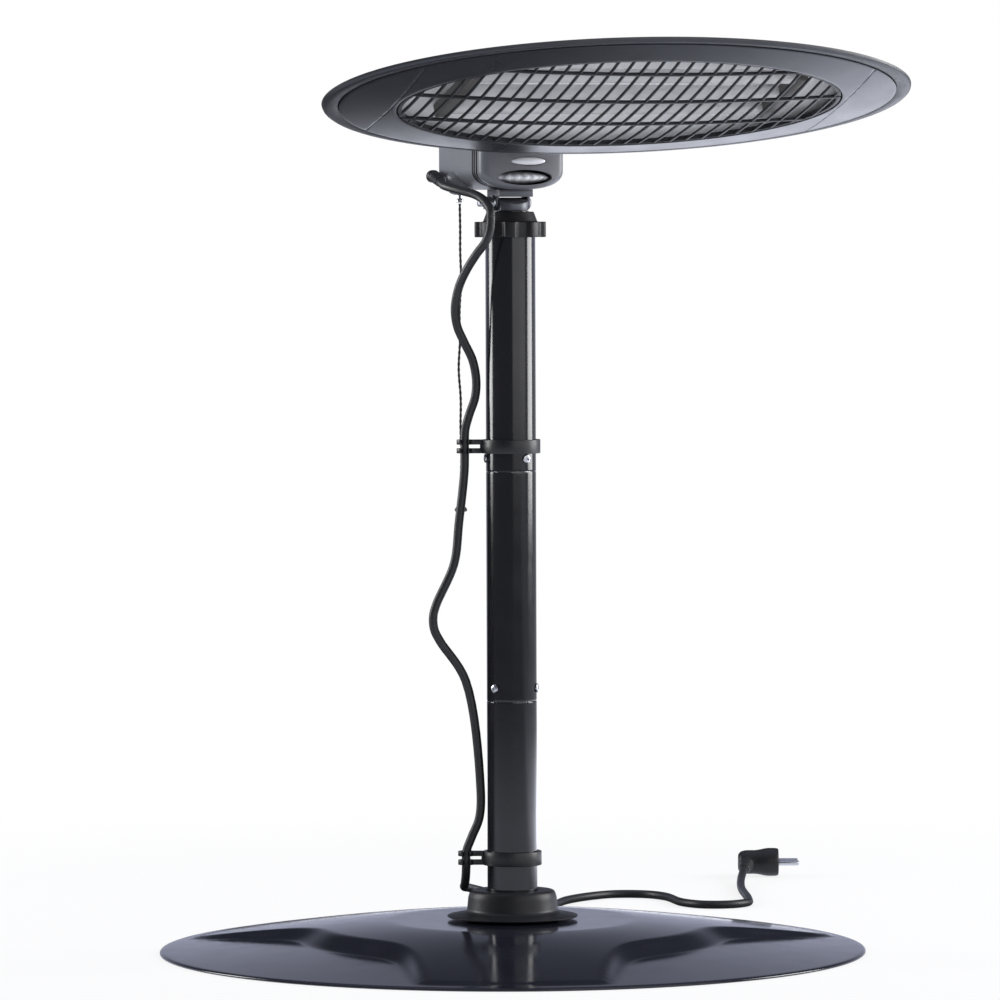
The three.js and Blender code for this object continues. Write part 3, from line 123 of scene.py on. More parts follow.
def surface(
    name,
    colour,
    roughness,
    metallic=0.0,
    shade=0.12,
    grain=900.0,
    bump=0.1,
    depth=0.0002,
    smear=0.06,
    coat=0.0,
    coat_roughness=0.05,
    specular=0.5,
    stretch=(1, 1, 1),
    sheen=0.0,
    alpha=1.0,
):
    """A moulded, painted or plated surface: slow colour shift, smeared gloss and a fine grain."""
    made, tree, shader = nodes_of(name)
    low = tuple(c * (1 - shade) for c in colour)
    high = tuple(min(1, c * (1 + shade)) for c in colour)
    tree.links.new(ramp(tree, noise(tree, PATCHES), low, high), shader.inputs["Base Color"])
    blur = noise(tree, PATCHES * 2.3, 5, stretch)
    blur = over_noise(tree, blur, max(0.01, roughness - smear), min(1, roughness + smear))
    tree.links.new(blur, shader.inputs["Roughness"])
    if bump:
        rough = tree.nodes.new("ShaderNodeBump")
        put(rough, {"Strength": bump, "Distance": depth})
        tree.links.new(noise(tree, grain, 2, stretch), rough.inputs["Height"])
        tree.links.new(rough.outputs["Normal"], shader.inputs["Normal"])
    put(shader, {"Metallic": metallic, "Specular IOR Level": specular, "Alpha": alpha})
    put(shader, {"Coat Weight": coat, "Coat Roughness": coat_roughness, "Sheen Weight": sheen})
    return made


BASE_BLACK = surface(
    "base_gloss_black", (0.012, 0.013, 0.02), 0.12, grain=240, bump=0.05, depth=0.0004, smear=0.03
)
POLE_BLACK = surface(
    "pole_gloss_black", (0.009, 0.009, 0.011), 0.14, grain=420, bump=0.06, depth=0.0003, smear=0.03
)
SATIN_BLACK = surface(
    "moulded_black", (0.011, 0.011, 0.013), 0.44, grain=2600, bump=0.25, specular=0.35
)
CLIP_BLACK = surface("clip_black", (0.012, 0.012, 0.014), 0.38, grain=2600, bump=0.2)
HEAD_GREY = surface(
    "head_satin_grey", (0.036, 0.039, 0.047), 0.3, metallic=0.35, grain=3200, bump=0.06, smear=0.03
)
BACK_GREY = surface(
    "shell_satin_grey", (0.03, 0.033, 0.04), 0.4, metallic=0.2, grain=3200, bump=0.3, smear=0.04
)
BOX_GREY = surface("box_satin_grey", (0.12, 0.125, 0.14), 0.38, grain=2400, bump=0.25)
# The rubber seal's own black, also laid on the box covers' seam grooves as painted shade.
SEAL_BLACK_AND_SEAM_SHADE = surface("seal_black_and_painted_seam_shade", (0.008, 0.008, 0.009), 0.5, grain=1800, bump=0.2)
DIAL_GREY = surface("dial_light_grey", (0.8, 0.81, 0.84), 0.3, grain=2400, bump=0.15)
# The lens's own pale grey, raised towards white to carry its bright highlight: partly a painted
# highlight.
LENS_PALE_AND_PAINTED_HIGHLIGHT = surface("lens_pale_and_painted_highlight", (0.74, 0.75, 0.78), 0.12, bump=0, coat=1.0, coat_roughness=0.03)
GRILLE_DARK = surface("grille_dark", (0.014, 0.015, 0.018), 0.45, grain=1600, specular=0.35)
# Near-white and barely metallic, so the reflector's bright look is painted into its colour: a
# painted reflection of the bright surroundings.
MIRROR_PAINTED_REFLECTION = surface(
    "aluminium_with_painted_reflection", (0.97, 0.975, 0.985), 0.18, metallic=0.08, shade=0.02, grain=300,
    bump=0.06, smear=0.05,
)
QUARTZ = surface("quartz_tube", (0.85, 0.86, 0.86), 0.1, bump=0, coat=0.6, alpha=0.55)
CERAMIC = surface("dark_ceramic", (0.12, 0.115, 0.11), 0.55, grain=1500)
STEEL = surface("zinc_steel", (0.55, 0.56, 0.58), 0.28, metallic=1.0, grain=1400, stretch=(1, 1, 6))
BRACKET_GREY = surface("bracket_grey", (0.09, 0.095, 0.11), 0.34, metallic=0.4, grain=1800)
IRON = surface("cast_iron", (0.03, 0.03, 0.033), 0.7, metallic=0.3, grain=600, bump=0.5)
CORD_BLACK = surface("cord_sheath", (0.013, 0.013, 0.015), 0.45, grain=1500, bump=0.2)
PULL_BLACK = surface("braided_cord", (0.012, 0.012, 0.013), 0.8, grain=2500, bump=0.8, sheen=0.3)


# ------------------------------------------------------------------ making meshes
# In a turned frame e is to the right and d to the front, so y is -d, and z is up.
# In the oval's frame p is along it, q across it and z towards its back.
ALONG_X = Matrix.Rotation(math.radians(90), 4, "Y")  # turns a piece made along Z
HEAD_YAW = math.radians(22.7)
HEAD = Matrix.Rotation(HEAD_YAW, 4, "Z")
HEAD_TILT = math.radians(20.3)
OVAL_CENTRE = (5, -209, 680)
LAMP = HEAD @ Matrix.Translation(OVAL_CENTRE) @ Matrix.Rotation(-HEAD_TILT, 4, "X")
HINGE_Z = 600.5
HINGE = HEAD @ Matrix.Translation((0, 0, HINGE_Z)) @ ALONG_X


def show(name, verts, faces, body, material, slot, nodes=(), matrix=None, sharp=32):
    """A piece from vertices in millimetres, that rides on a body and stands for CAD nodes."""
    mesh = bpy.data.meshes.new(name)
    matrix = matrix or Matrix()
    mesh.from_pydata([(matrix @ Vector(v)) * MM for v in verts], [], faces)
    tidy = bmesh.new()
    tidy.from_mesh(mesh)
    bmesh.ops.remove_doubles(tidy, verts=tidy.verts, dist=1e-6)
    bmesh.ops.recalc_face_normals(tidy, faces=tidy.faces)
    tidy.to_mesh(mesh)
    tidy.free()
    smooth_shading(mesh, sharp)
    mesh.materials.append(material)
    made = linked(name, mesh)
    if body:
        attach(made, body)
    if nodes:
        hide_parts(*([nodes] if isinstance(nodes, str) else nodes))
    return made


def soften(profile, radius, closed=True, steps=3):
    """A profile with its corners rounded by short curves."""
    made = []
    count = len(profile)
    for i, corner in enumerate(profile):
        here = Vector(corner)
        if not closed and i in (0, count - 1):
            made.append(tuple(here))
            continue
        before, after = Vector(profile[i - 1]) - here, Vector(profile[(i + 1) % count]) - here
        cut = min(radius, 0.45 * before.length, 0.45 * after.length)
        a, b = here + before.normalized() * cut, here + after.normalized() * cut
        for k in range(steps + 1):
            t = k / steps
            made.append(tuple(a * (1 - t) ** 2 + here * 2 * t * (1 - t) + b * t * t))
    return made


def grid_faces(columns, rows, wrap_columns=True, wrap_rows=True):
    """Four-sided faces between neighbours in a grid that may close on itself."""
    faces = []
    for i in range(columns if wrap_columns else columns - 1):
        for j in range(rows if wrap_rows else rows - 1):
            k, m = (i + 1) % columns, (j + 1) % rows
            faces.append((i * rows + j, k * rows + j, k * rows + m, i * rows + m))
    return faces


def turned(profile, segments=96, stretch=1.0):
    """Vertices and faces of a body of revolution about Z, from a closed ring of (r, z)."""
    verts = []
    for i in range(segments):
        a = 2 * math.pi * i / segments
        verts += [(r * math.cos(a) * stretch, r * math.sin(a), z) for r, z in profile]
    return verts, grid_faces(segments, len(profile))


def turn_to(line):
    """The turn that brings a piece made along Z to a line."""
    return Vector((0, 0, 1)).rotation_difference(line).to_matrix().to_4x4()


def lofted(columns):
    """A closed ring of closed sections."""
    return [p for c in columns for p in c], grid_faces(len(columns), len(columns[0]))


def merged(*parts):
    """Several parts' vertices and faces as one."""
    verts, faces = [], []
    for part_verts, part_faces in parts:
        faces += [tuple(i + len(verts) for i in f) for f in part_faces]
        verts += list(part_verts)
    return verts, faces


def smooth_shading(mesh, sharp):
    """Smooth shading that breaks at edges sharper than an angle in degrees."""
    mesh.shade_smooth()
    mesh.set_sharp_from_angle(angle=math.radians(sharp))


def apply_modifiers(piece):
    """Puts the modifiers' result into the piece's own mesh."""
    done = bpy.data.meshes.new_from_object(
        piece.evaluated_get(bpy.context.evaluated_depsgraph_get())
    )
    piece.modifiers.clear()
    piece.data = done


def bevel(piece, width, segments=2, angle=35):
    made = piece.modifiers.new("edges", "BEVEL")
    made.width = width * MM
    made.segments = segments
    made.limit_method = "ANGLE"
    made.angle_limit = math.radians(angle)
    made.harden_normals = False
    return made


def from_node(node, body, material, width, name=None, segments=2, sharp=35):
    """A piece with the CAD node's own shape and small rounded edges."""
    mesh = NODES[node].data.copy()
    mesh.name = name or node + "_finished"
    mesh.materials.clear()
    mesh.materials.append(material)
    tidy = bmesh.new()
    tidy.from_mesh(mesh)
    bmesh.ops.remove_doubles(tidy, verts=tidy.verts, dist=2e-6)
    bmesh.ops.dissolve_limit(
        tidy, angle_limit=math.radians(1), verts=tidy.verts, edges=tidy.edges
    )
    for face in tidy.faces:
        face.material_index = 0
    tidy.to_mesh(mesh)
    tidy.free()
    made = linked(mesh.name, mesh)
    if width:
        bevel(made, width, segments)
        apply_modifiers(made)
    smooth_shading(made.data, sharp)
    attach(made, body)
    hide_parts(node)
    return made


def dress(node, material):
    """A CAD node that stays in view, with a better material."""
    mesh = NODES[node].data
    mesh.materials.clear()
    mesh.materials.append(material)


# ------------------------------------------------------------------ mains cord
CORD_RADIUS = 3.5
HEAD_CORD = [
    (-53.4, 8.6, 614.8), (-47, -0.5, 612.4), (-38.4, -9.4, 610), (-29, -18, 607.4),
    (-21.4, -26.4, 603), (-16.8, -32.4, 597), (-15.4, -36, 592.5), (-15.4, -36, 589.95),
]
UPPER_CORD = [
    (-15.4, -36, 589.65), (-15.4, -36, 585), (-16.6, -35.6, 577), (-20, -33, 569),
    (-27, -28, 559.6), (-35.5, -20, 546), (-41.5, -12, 532), (-44.3, -6.5, 516),
    (-42.6, -4, 502), (-37, -3, 489), (-30.5, -2.5, 475), (-27.6, -2, 459), (-28.6, -1.5, 445),
    (-33, -0.8, 432), (-36.4, 0, 420), (-37, 0, 411), (-37, 0, 400.9),
]
LOWER_CORD = [
    (-37, 0, 400.6), (-37.4, 0, 385), (-41.8, 0, 345), (-45.9, -0.5, 311.5), (-60.1, -1.3, 279.4),
    (-62.7, -1.4, 269.6), (-61.9, -1.4, 259.2), (-57.4, -1.2, 249.8), (-37, -0.2, 218),
    (-25.4, 0, 134), (-26.3, 0, 108), (-32.6, 0, 92), (-36.8, 0, 80.5), (-37, 0.25, 69.3),
    (-37.4, 4, 60.8), (-38.2, 12.4, 53.3), (-38.8, 22, 50), (-35, 37, 47.6), (-22, 54, 42.5),
    (-7, 70, 36.5), (6, 98, 30), (11.5, 124, 28.1), (15, 155, 24.3), (18.5, 190, 14.4),
    (25, 245, 9.5), (36, 320, 3.7), (46.5, 362, 3.7), (68.7, 397.5, 3.7), (89.9, 413.8, 3.7),
    (115.4, 410.9, 3.7), (131.5, 393.1, 3.7), (146.5, 340.8, 3.7), (163.1, 323.1, 3.7),
    (185.8, 323.5, 3.7), (200.9, 339.1, 3.7), (203, 366, 3.7), (200.4, 460, 3.7),
    (202.4, 524, 5.6),
]
GLAND = Vector((-41.4, 58.5, 622))  # the relief's root, in the box's level frame
RELIEF_TIP = Vector((-45, 37.5, 617.4))
PLUG_BOOT_TIP = Vector((206.5, 562, 10.4))
PLUG_FRONT = Vector((210.5, 591.4, 12.8))


def smooth_path(points, pieces=8):
    """A centripetal curve through the points, cut into short straight pieces."""
    points = [Vector(p) for p in points]
    ends = [2 * points[0] - points[1], *points, 2 * points[-1] - points[-2]]
    path = []
    for i in range(len(points) - 1):
        p0, p1, p2, p3 = ends[i : i + 4]
        t01, t12, t23 = ((b - a).length ** 0.5 for a, b in ((p0, p1), (p1, p2), (p2, p3)))
        leave = ((p1 - p0) / t01 - (p2 - p0) / (t01 + t12) + (p2 - p1) / t12) * t12
        arrive = ((p2 - p1) / t12 - (p3 - p1) / (t12 + t23) + (p3 - p2) / t23) * t12
        for k in range(pieces):
            t = k / pieces
            path.append(
                p1 * (2 * t**3 - 3 * t**2 + 1)
                + leave * (t**3 - 2 * t**2 + t)
                + p2 * (3 * t**2 - 2 * t**3)
                + arrive * (t**3 - t**2)
            )
    return path + [points[-1]]


def tube(path, radius, sides=20):
    """A round tube along a path, capped at both ends."""
    verts = []
    along = (path[1] - path[0]).normalized()
    side = along.cross(Vector((0.3, 1, 0.2))).normalized()
    for i, at in enumerate(path):
        ahead, behind = path[min(i + 1, len(path) - 1)], path[max(i - 1, 0)]
        along = (ahead - behind).normalized()
        side = (side - along * side.dot(along)).normalized()
        up = along.cross(side)
        for k in range(sides):
            a = 2 * math.pi * k / sides
            verts.append(tuple(at + side * radius * math.cos(a) + up * radius * math.sin(a)))
    faces = grid_faces(len(path), sides, wrap_columns=False)
    ends = [tuple(range(sides)), tuple((len(path) - 1) * sides + k for k in range(sides))]
    return verts, faces + ends


def cord_piece(name, points, node, body):
    """A round sheathed cord along a smooth curve."""
    path = smooth_path(points)
    made = show(name, *tube(path, CORD_RADIUS), body, CORD_BLACK, "cord_rubber", node, sharp=60)
    return made, path


relief_end = HEAD @ (RELIEF_TIP + (RELIEF_TIP - GLAND).normalized() * FIT)
relief_line = (HEAD @ RELIEF_TIP - HEAD @ GLAND).normalized()
boot_line = (PLUG_FRONT - PLUG_BOOT_TIP).normalized()
head_cord, head_path = cord_piece(
    "mains_cord_by_head",
    [relief_end, relief_end + relief_line * 6, *HEAD_CORD],
    "mains_cord_head",
    None,
)
upper_cord, upper_path = cord_piece("mains_cord_by_mast", UPPER_CORD, "mains_cord_upper", None)
lower_cord, lower_path = cord_piece(
    "mains_cord_by_pole",
    [*LOWER_CORD, PLUG_BOOT_TIP - boot_line * 5, PLUG_BOOT_TIP - boot_line * FIT],
    "mains_cord_lower",
    "stand",
)
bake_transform(head_cord)
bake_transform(upper_cord)


# ------------------------------------------------------------------ plug
PLUG_PLACE = Vector((202.5, 602, 12.8))  # the middle of the moulding's closed end
PIN_OFFSET = Vector((0, 9.5, 0))


def plug_pieces():
    profile = [
        (0, 0), (7, 0), (9.6, 2.5), (10.6, 7), (10.6, 15), (11.1, 19), (12.1, 23.5), (12.5, 26.5),
        (12.5, 33), (11.9, 36), (0, 36),
    ]
    body = show(
        "plug_moulding", *turned(soften(profile, 1.2), 64), "stand", SATIN_BLACK,
        "black_plastic", "plug_body", Matrix.Translation(PLUG_PLACE) @ ALONG_X,
    )
    length = (PLUG_FRONT - PLUG_BOOT_TIP).length
    turn = turn_to(boot_line)
    ribs = [(0, 0), (4.2, 0)]
    for i in range(5):
        z = 2 + i * 4.2
        r = 4.4 + i * 0.35
        ribs += [(r + 0.5, z), (r + 0.6, z + 2.2), (r - 0.3, z + 2.5), (r - 0.2, z + 3.9)]
    ribs += [(6.1, length), (0, length)]
    boot = show(
        "plug_ribbed_boot", *turned(soften(ribs, 0.4), 40), "stand", CORD_BLACK, "cord_rubber",
        "plug_boot", Matrix.Translation(PLUG_BOOT_TIP) @ turn,
    )
    pins = []
    for number, side in ((1, -1), (2, 1)):
        pin = [(0, 36.3), (2.4, 36.3), (2.4, 52.4), (1.9, 53.7), (1.1, 54.3), (0, 54.3)]
        place = Matrix.Translation(PLUG_PLACE + side * PIN_OFFSET)
        pins.append(
            show(
                f"plug_prong_{number}", *turned(soften(pin, 0.3), 32), "stand", STEEL, "brass",
                f"plug_pin_{number}", place @ ALONG_X,
            )
        )
    return [body, boot, *pins]


plug = plug_pieces()


# ------------------------------------------------------------------ strain relief and gland
def relief_piece():
    turn = turn_to((RELIEF_TIP - GLAND).normalized())
    length = (RELIEF_TIP - GLAND).length
    profile = [(0, 1.9), (4.9, 1.9), (4.9, 4)]
    for i in range(5):
        z = 4.8 + i * 3.2
        r = 4.9 - i * 0.14
        profile += [(r - 0.5, z), (r - 0.5, z + 0.9), (r - 0.05, z + 1.2), (r - 0.1, z + 2.9)]
    profile += [(4.1, length), (0, length)]
    return show(
        "cord_outlet_relief", *turned(soften(profile, 0.25), 40), "head", CORD_BLACK,
        "cord_rubber", "strain_relief",
        HEAD @ Matrix.Translation(GLAND) @ turn,
    )


relief = relief_piece()
from_node("cord_gland", "head", CLIP_BLACK, 0.4)


# ------------------------------------------------------------------ pull switch
PULL = HEAD @ Matrix.Translation((-29.5, 34, 0))


def pull_pieces():
    rod = [(0, 600.8), (2.8, 600.8), (2.8, 603.2), (1.9, 604), (1.9, 626.7), (0, 626.7)]
    show(
        "pull_rod", *turned(soften(rod, 0.4), 24), "plunger", STEEL, "steel", "pull_plunger", PULL
    )
    bell = [
        (0, 352.7), (4.4, 352.7), (5.2, 353.6), (4.9, 355), (3.4, 356.6), (2.4, 358.6),
        (1.9, 360.7), (0, 360.7),
    ]
    weight = show(
        "pull_handle", *turned(soften(bell, 0.5), 40), "pull", SATIN_BLACK, "black_plastic",
        "pull_bell", PULL,
    )
    top, bottom = 600.0, 361.0
    turns, sides, count = 26, 8, 260
    centre = PULL @ Vector((0, 0, 0))
    columns, path = [], []
    for i in range(count + 1):
        t = i / count
        z = top + (bottom - top) * t
        sway = math.sin(math.pi * t)
        x = centre.x + sway * (0.9 * math.sin(9 * t) + 0.5 * math.sin(31 * t))
        y = centre.y + sway * 0.7 * math.sin(14 * t + 1)
        path.append((x * MM, y * MM, z * MM))
        twist = 2 * math.pi * turns * t
        for k in range(sides):
            a = 2 * math.pi * k / sides
            r = 0.95 + 0.16 * math.cos(2 * (a - twist))
            columns.append((x + r * math.cos(a), y + r * math.sin(a), z))
    faces = grid_faces(count + 1, sides, wrap_columns=False)
    faces += [tuple(range(sides)), tuple(count * sides + k for k in range(sides))]
    cord = show(
        "pull_braid", columns, faces, "pull", PULL_BLACK, "pull_textile", "pull_cord", sharp=80
    )


pull_pieces()


# ------------------------------------------------------------------ base
BASE_RADIUS = 283
EDGE_TOP = 2.6
PLATEAU_TOP = 26
PLATEAU_RADIUS = 98
SCOOP_CREST = 150
SCOOP_HALF_ANGLE = 45
SCOOP_END = 262
SCOOP_WALL = 22
COVER_WALL = 2


def crown_height(r):
    if r <= PLATEAU_RADIUS:
        return PLATEAU_TOP
    share = (r - PLATEAU_RADIUS) / (BASE_RADIUS - PLATEAU_RADIUS)
    return EDGE_TOP + (PLATEAU_TOP - EDGE_TOP) * (1 - share**1.25)


def smoothstep(x, low, high):
    t = min(1, max(0, (x - low) / (high - low)))
    return t * t * (3 - 2 * t)


def cover_height(r, offset):
    """The base cover's top at a radius and at degrees from a scoop's middle."""
    share = min(1, abs(offset) / SCOOP_HALF_ANGLE) ** 5
    crest = SCOOP_CREST + (SCOOP_END - SCOOP_CREST) * share
    foot = crest + min(SCOOP_WALL, (BASE_RADIUS - crest) * 0.6)
    floor = EDGE_TOP + (BASE_RADIUS - r) * 0.07
    s = smoothstep(r, crest, foot)
    return crown_height(r) * (1 - s) + floor * s


def base_piece():
    columns = []
    hole, edge, rows = 20.9, BASE_RADIUS - 3, 90
    radii = [hole + (edge - hole) * (i / rows) for i in range(rows + 1)]
    for angle in range(360):
        offset = (angle - 30) % 120 - 60  # from the middle of the nearest of three scoops
        a = math.radians(angle)
        top = [(r, cover_height(r, offset)) for r in radii]
        edge = [
            (BASE_RADIUS - 1.6, EDGE_TOP), (BASE_RADIUS - 0.5, EDGE_TOP - 0.4),
            (BASE_RADIUS, EDGE_TOP - 1.1), (BASE_RADIUS, 0.6), (BASE_RADIUS - 0.3, FIT),
            (BASE_RADIUS - 2, FIT),
        ]
        under = [(r, h - COVER_WALL) for r, h in reversed(top[::6])]
        columns.append([(r * math.cos(a), r * math.sin(a), z) for r, z in [*top, *edge, *under]])
    show("base_scooped_cover", *lofted(columns), "stand", BASE_BLACK, "base_cover", "base_cover",
         sharp=50)


base_piece()
for node, material in (
    ("base_plate", IRON), ("base_weight", IRON), ("base_bolt", STEEL), ("pole_socket", STEEL),
):
    dress(node, material)


def collar_piece():
    bottom, top, bore = 26.3, 49.7, 20.3
    profile = [
        (bore, bottom), (36.5, bottom), (37.5, bottom + 0.9), (52, bottom + 1.9),
        (52.5, bottom + 3), (47, bottom + 4.2), (38.8, bottom + 5.4), (36.5, bottom + 7.5),
        (35.4, top - 4.5), (33.5, top), (bore + 1.2, top), (bore, top - 1.2),
    ]
    show("base_collar_cap", *turned(soften(profile, 2.2, steps=4), 128), "stand", SATIN_BLACK,
         "black_plastic", "base_collar")


collar_piece()


# ------------------------------------------------------------------ pole
POLE_RADIUS = 20
POLE_BORE = 18.5
POLE_FOOT, LOWER_JOINT, UPPER_JOINT, POLE_TOP = 24, 201.8, 385.8, 578
HALF_GAP = FIT / 2
MAST_RADIUS, MAST_BORE, MAST_FOOT, MAST_TOP = 15, 13.5, 430, 594


def tube_piece(name, node, outer, inner, z0, z1, body, edge=0.5):
    """A tube with rings 2 mm from its ends, which keep the shading straight."""
    profile = [(inner, z0), (outer, z0), (outer, z0 + 2), (outer, z1 - 2), (outer, z1)]
    rounded = soften([*profile, (inner, z1), (inner, z1 - 2), (inner, z0 + 2)], edge)
    show(name, *turned(rounded, 128), body, POLE_BLACK, "pole_paint", node)


for name, node, z0, z1 in (
    ("pole_section_1", "pole_lower", POLE_FOOT, LOWER_JOINT - HALF_GAP),
    ("pole_section_2", "pole_middle", LOWER_JOINT + HALF_GAP, UPPER_JOINT - HALF_GAP),
    ("pole_section_3", "pole_upper", UPPER_JOINT + HALF_GAP, POLE_TOP),
):
    tube_piece(name, node, POLE_RADIUS, POLE_BORE, z0, z1, "stand")
dress("joint_sleeve_lower", STEEL)
dress("joint_sleeve_upper", STEEL)


def screw_piece(name, node, degrees, z):
    """A pan head with a cross recess, seated on the pole."""
    seat = POLE_RADIUS + FIT
    a = math.radians(degrees)
    out = Vector((math.sin(a), -math.cos(a), 0))
    turn = turn_to(out)
    rings, count = [0.0, 0.5, 0.9, 1.35, 1.9, 2.6, 3.2, 3.55, 3.6, 3.6], 32
    heights = [1.6, 1.6, 1.6, 1.6, 1.55, 1.4, 1.1, 0.7, 0.35, 0]
    recess, shank, shank_end = 0.8, 1.8, seat - 5
    verts = []
    for i in range(count):
        t = 2 * math.pi * i / count
        cross = abs(math.cos(2 * t)) > 0.86
        for r, h in zip(rings, heights):
            dip = recess if (cross and r < 1.8) or r < 0.6 else 0
            verts.append((r * math.cos(t), r * math.sin(t), seat + h - dip))
        verts.append((shank * math.cos(t), shank * math.sin(t), seat))
        verts.append((shank * math.cos(t), shank * math.sin(t), shank_end))
        verts.append((0, 0, shank_end))
    faces = grid_faces(count, len(rings) + 3, wrap_rows=False)
    show(name, verts, faces, "stand", STEEL, "steel", node, Matrix.Translation((0, 0, z)) @ turn)


SCREW_RISE = 10.5
for joint, z, angles in (
    ("lower", LOWER_JOINT + SCREW_RISE, (78, -42, -162)),
    ("upper", UPPER_JOINT + SCREW_RISE, (37.5, -82.5, 157.5)),
):
    for number, degrees in enumerate(angles, 1):
        screw_piece(f"{joint}_pan_screw_{number}", f"{joint}_joint_screw_{number}", degrees, z)

for place in ("lower", "upper"):
    from_node(f"cable_clip_{place}", "stand", CLIP_BLACK, 0.5)


# ------------------------------------------------------------------ twist collar and mast
def twist_piece():
    bottom, top, cone_top = 573, 585.4, 593.4
    lobes, count = 8, 384
    columns = []
    for i in range(count):
        a = 2 * math.pi * i / count
        r = 26.6 + 2 * math.tanh(2.4 * math.cos(lobes * a))
        profile = [
            (20.6, bottom), (r, bottom), (r, top), (21.8, top), (18.8, cone_top),
            (15.6, cone_top), (15.6, cone_top - 2.8), (17.6, cone_top - 2.8), (20.6, 581.6),
        ]
        rounded = soften(profile, 0.9)
        columns.append([(q * math.cos(a), q * math.sin(a), z) for q, z in rounded])
    show("height_lock_ring", *lofted(columns), "lock_ring", SATIN_BLACK, "black_plastic",
         "twist_collar", sharp=40)


twist_piece()
dress("collet", SATIN_BLACK)
tube_piece("mast_inner_tube", "mast_tube", MAST_RADIUS, MAST_BORE, MAST_FOOT, MAST_TOP, "mast")
dress("mast_foot_bush", SATIN_BLACK)
from_node("mast_head_plug", "mast", BRACKET_GREY, 0.5)


# ------------------------------------------------------------------ tilt hinge
bracket = from_node("tilt_bracket", "head", BRACKET_GREY, 0.6)
PLATE_TOP, PLATE_RISE = 0.608, 0.0009  # metres, so that the plate meets the box above it
for vertex in bracket.data.vertices:
    if vertex.co.z > PLATE_TOP:
        vertex.co.z += PLATE_RISE


def bolt_piece():
    head = 14.9
    profile = [(0, -28)]
    for i in range(24):
        z = -27.6 + i * 0.5
        profile += [(2.75, z), (3.0, z + 0.25)]
    profile += [(3, -15), (3, head), (5.4, head), (5.3, head + 0.8), (3.8, head + 2), (0, head + 2)]
    show("tilt_hinge_bolt", *turned(profile, 32), "mast", STEEL, "steel", "tilt_bolt", HINGE)


bolt_piece()
from_node("tilt_lock_nut", "mast", STEEL, 0.35)


# ------------------------------------------------------------------ control box
BOX_HALF, BOX_TOP, BOX_STRAIGHT, BOX_BOTTOM = 36, 650, 626, 611
BOX_POWER = 2.3
BOX_BACK, BOX_FRONT, BOX_SEAM = -66, 33, 11.2
BOX_WALL = 2.2


def box_section(inset, count=40):
    """The box's outline across its width (e) and height, drawn inset by a wall."""
    half, belly = BOX_HALF - inset, BOX_STRAIGHT - BOX_BOTTOM - inset
    points = []
    for i in range(count + 1):
        e = -half * math.cos(math.pi * i / count)
        share = max(0, 1 - (abs(e) / half) ** BOX_POWER)
        points.append((e, BOX_STRAIGHT - belly * share ** (1 / BOX_POWER)))
    side = [(half, BOX_STRAIGHT + (BOX_TOP - inset - BOX_STRAIGHT) * k / 8) for k in range(1, 8)]
    lid = [(half - 2 * half * k / 12, BOX_TOP - inset) for k in range(0, 13)]
    other = [(-e, z) for e, z in reversed(side)]
    return points + side + lid + other


def box_ring(inset, depth_at):
    """One ring of the box's skin; depth is towards the front, so y is minus it."""
    return [(e, -depth_at(e), z) for e, z in box_section(inset)]


def fan(start, count):
    """The face that closes a ring."""
    return tuple(range(start, start + count))


def shell_from(rings):
    """A skin through rings, closed by a face across its first and its last ring."""
    count = len(rings[0])
    verts = [p for ring in rings for p in ring]
    faces = []
    for i in range(len(rings) - 1):
        for j in range(count):
            k = (j + 1) % count
            faces.append((i * count + j, i * count + k, (i + 1) * count + k, (i + 1) * count + j))
    return verts, faces + [fan(0, count), fan((len(rings) - 1) * count, count)]


def oval_prism(half_e, half_z, e, z, d0, d1, count=64):
    """An oval cutter that runs from one depth to another."""
    verts = []
    for d in (d0, d1):
        for i in range(count):
            a = 2 * math.pi * i / count
            verts.append((e + half_e * math.cos(a), -d, z + half_z * math.sin(a)))
    faces = [(i, (i + 1) % count, count + (i + 1) % count, count + i) for i in range(count)]
    return verts, faces + [fan(0, count), fan(count, count)]


def cutter(name, part, matrix):
    """A bare object that only cuts others."""
    mesh = bpy.data.meshes.new(name)
    mesh.from_pydata([(matrix @ Vector(v)) * MM for v in part[0]], [], part[1])
    tidy = bmesh.new()
    tidy.from_mesh(mesh)
    bmesh.ops.recalc_face_normals(tidy, faces=tidy.faces)
    tidy.to_mesh(mesh)
    tidy.free()
    return linked(name, mesh)


def carved(piece, cutters, width, segments=3, angle=40, sharp=40):
    """Cuts the piece by other shapes, then rounds its sharp edges."""
    for number, part in enumerate(cutters):
        tool = cutter(f"tool_{number}", part, HEAD)
        step = piece.modifiers.new("cut", "BOOLEAN")
        step.object = tool
        step.operation = "DIFFERENCE"
        step.solver = "EXACT"
    if width:
        bevel(piece, width, segments, angle)
    tools = [step.object for step in piece.modifiers if step.type == "BOOLEAN"]
    apply_modifiers(piece)
    for tool in tools:
        bpy.data.objects.remove(tool)
    smooth_shading(piece.data, sharp)


DIAL_Z, DIAL_D = 620.5, 4.3
LENS_E, LENS_Z = 2.6, 633.5


def paint_seam_shade(piece, low, high, material):
    """Painted shade: the faces of a box part between two depths, the seam's groove, get a second,
    black material.
    """
    piece.data.materials.append(material)
    level = HEAD.inverted()
    for face in piece.data.polygons:
        if low < -(level @ face.center).y / MM < high:
            face.material_index = 1


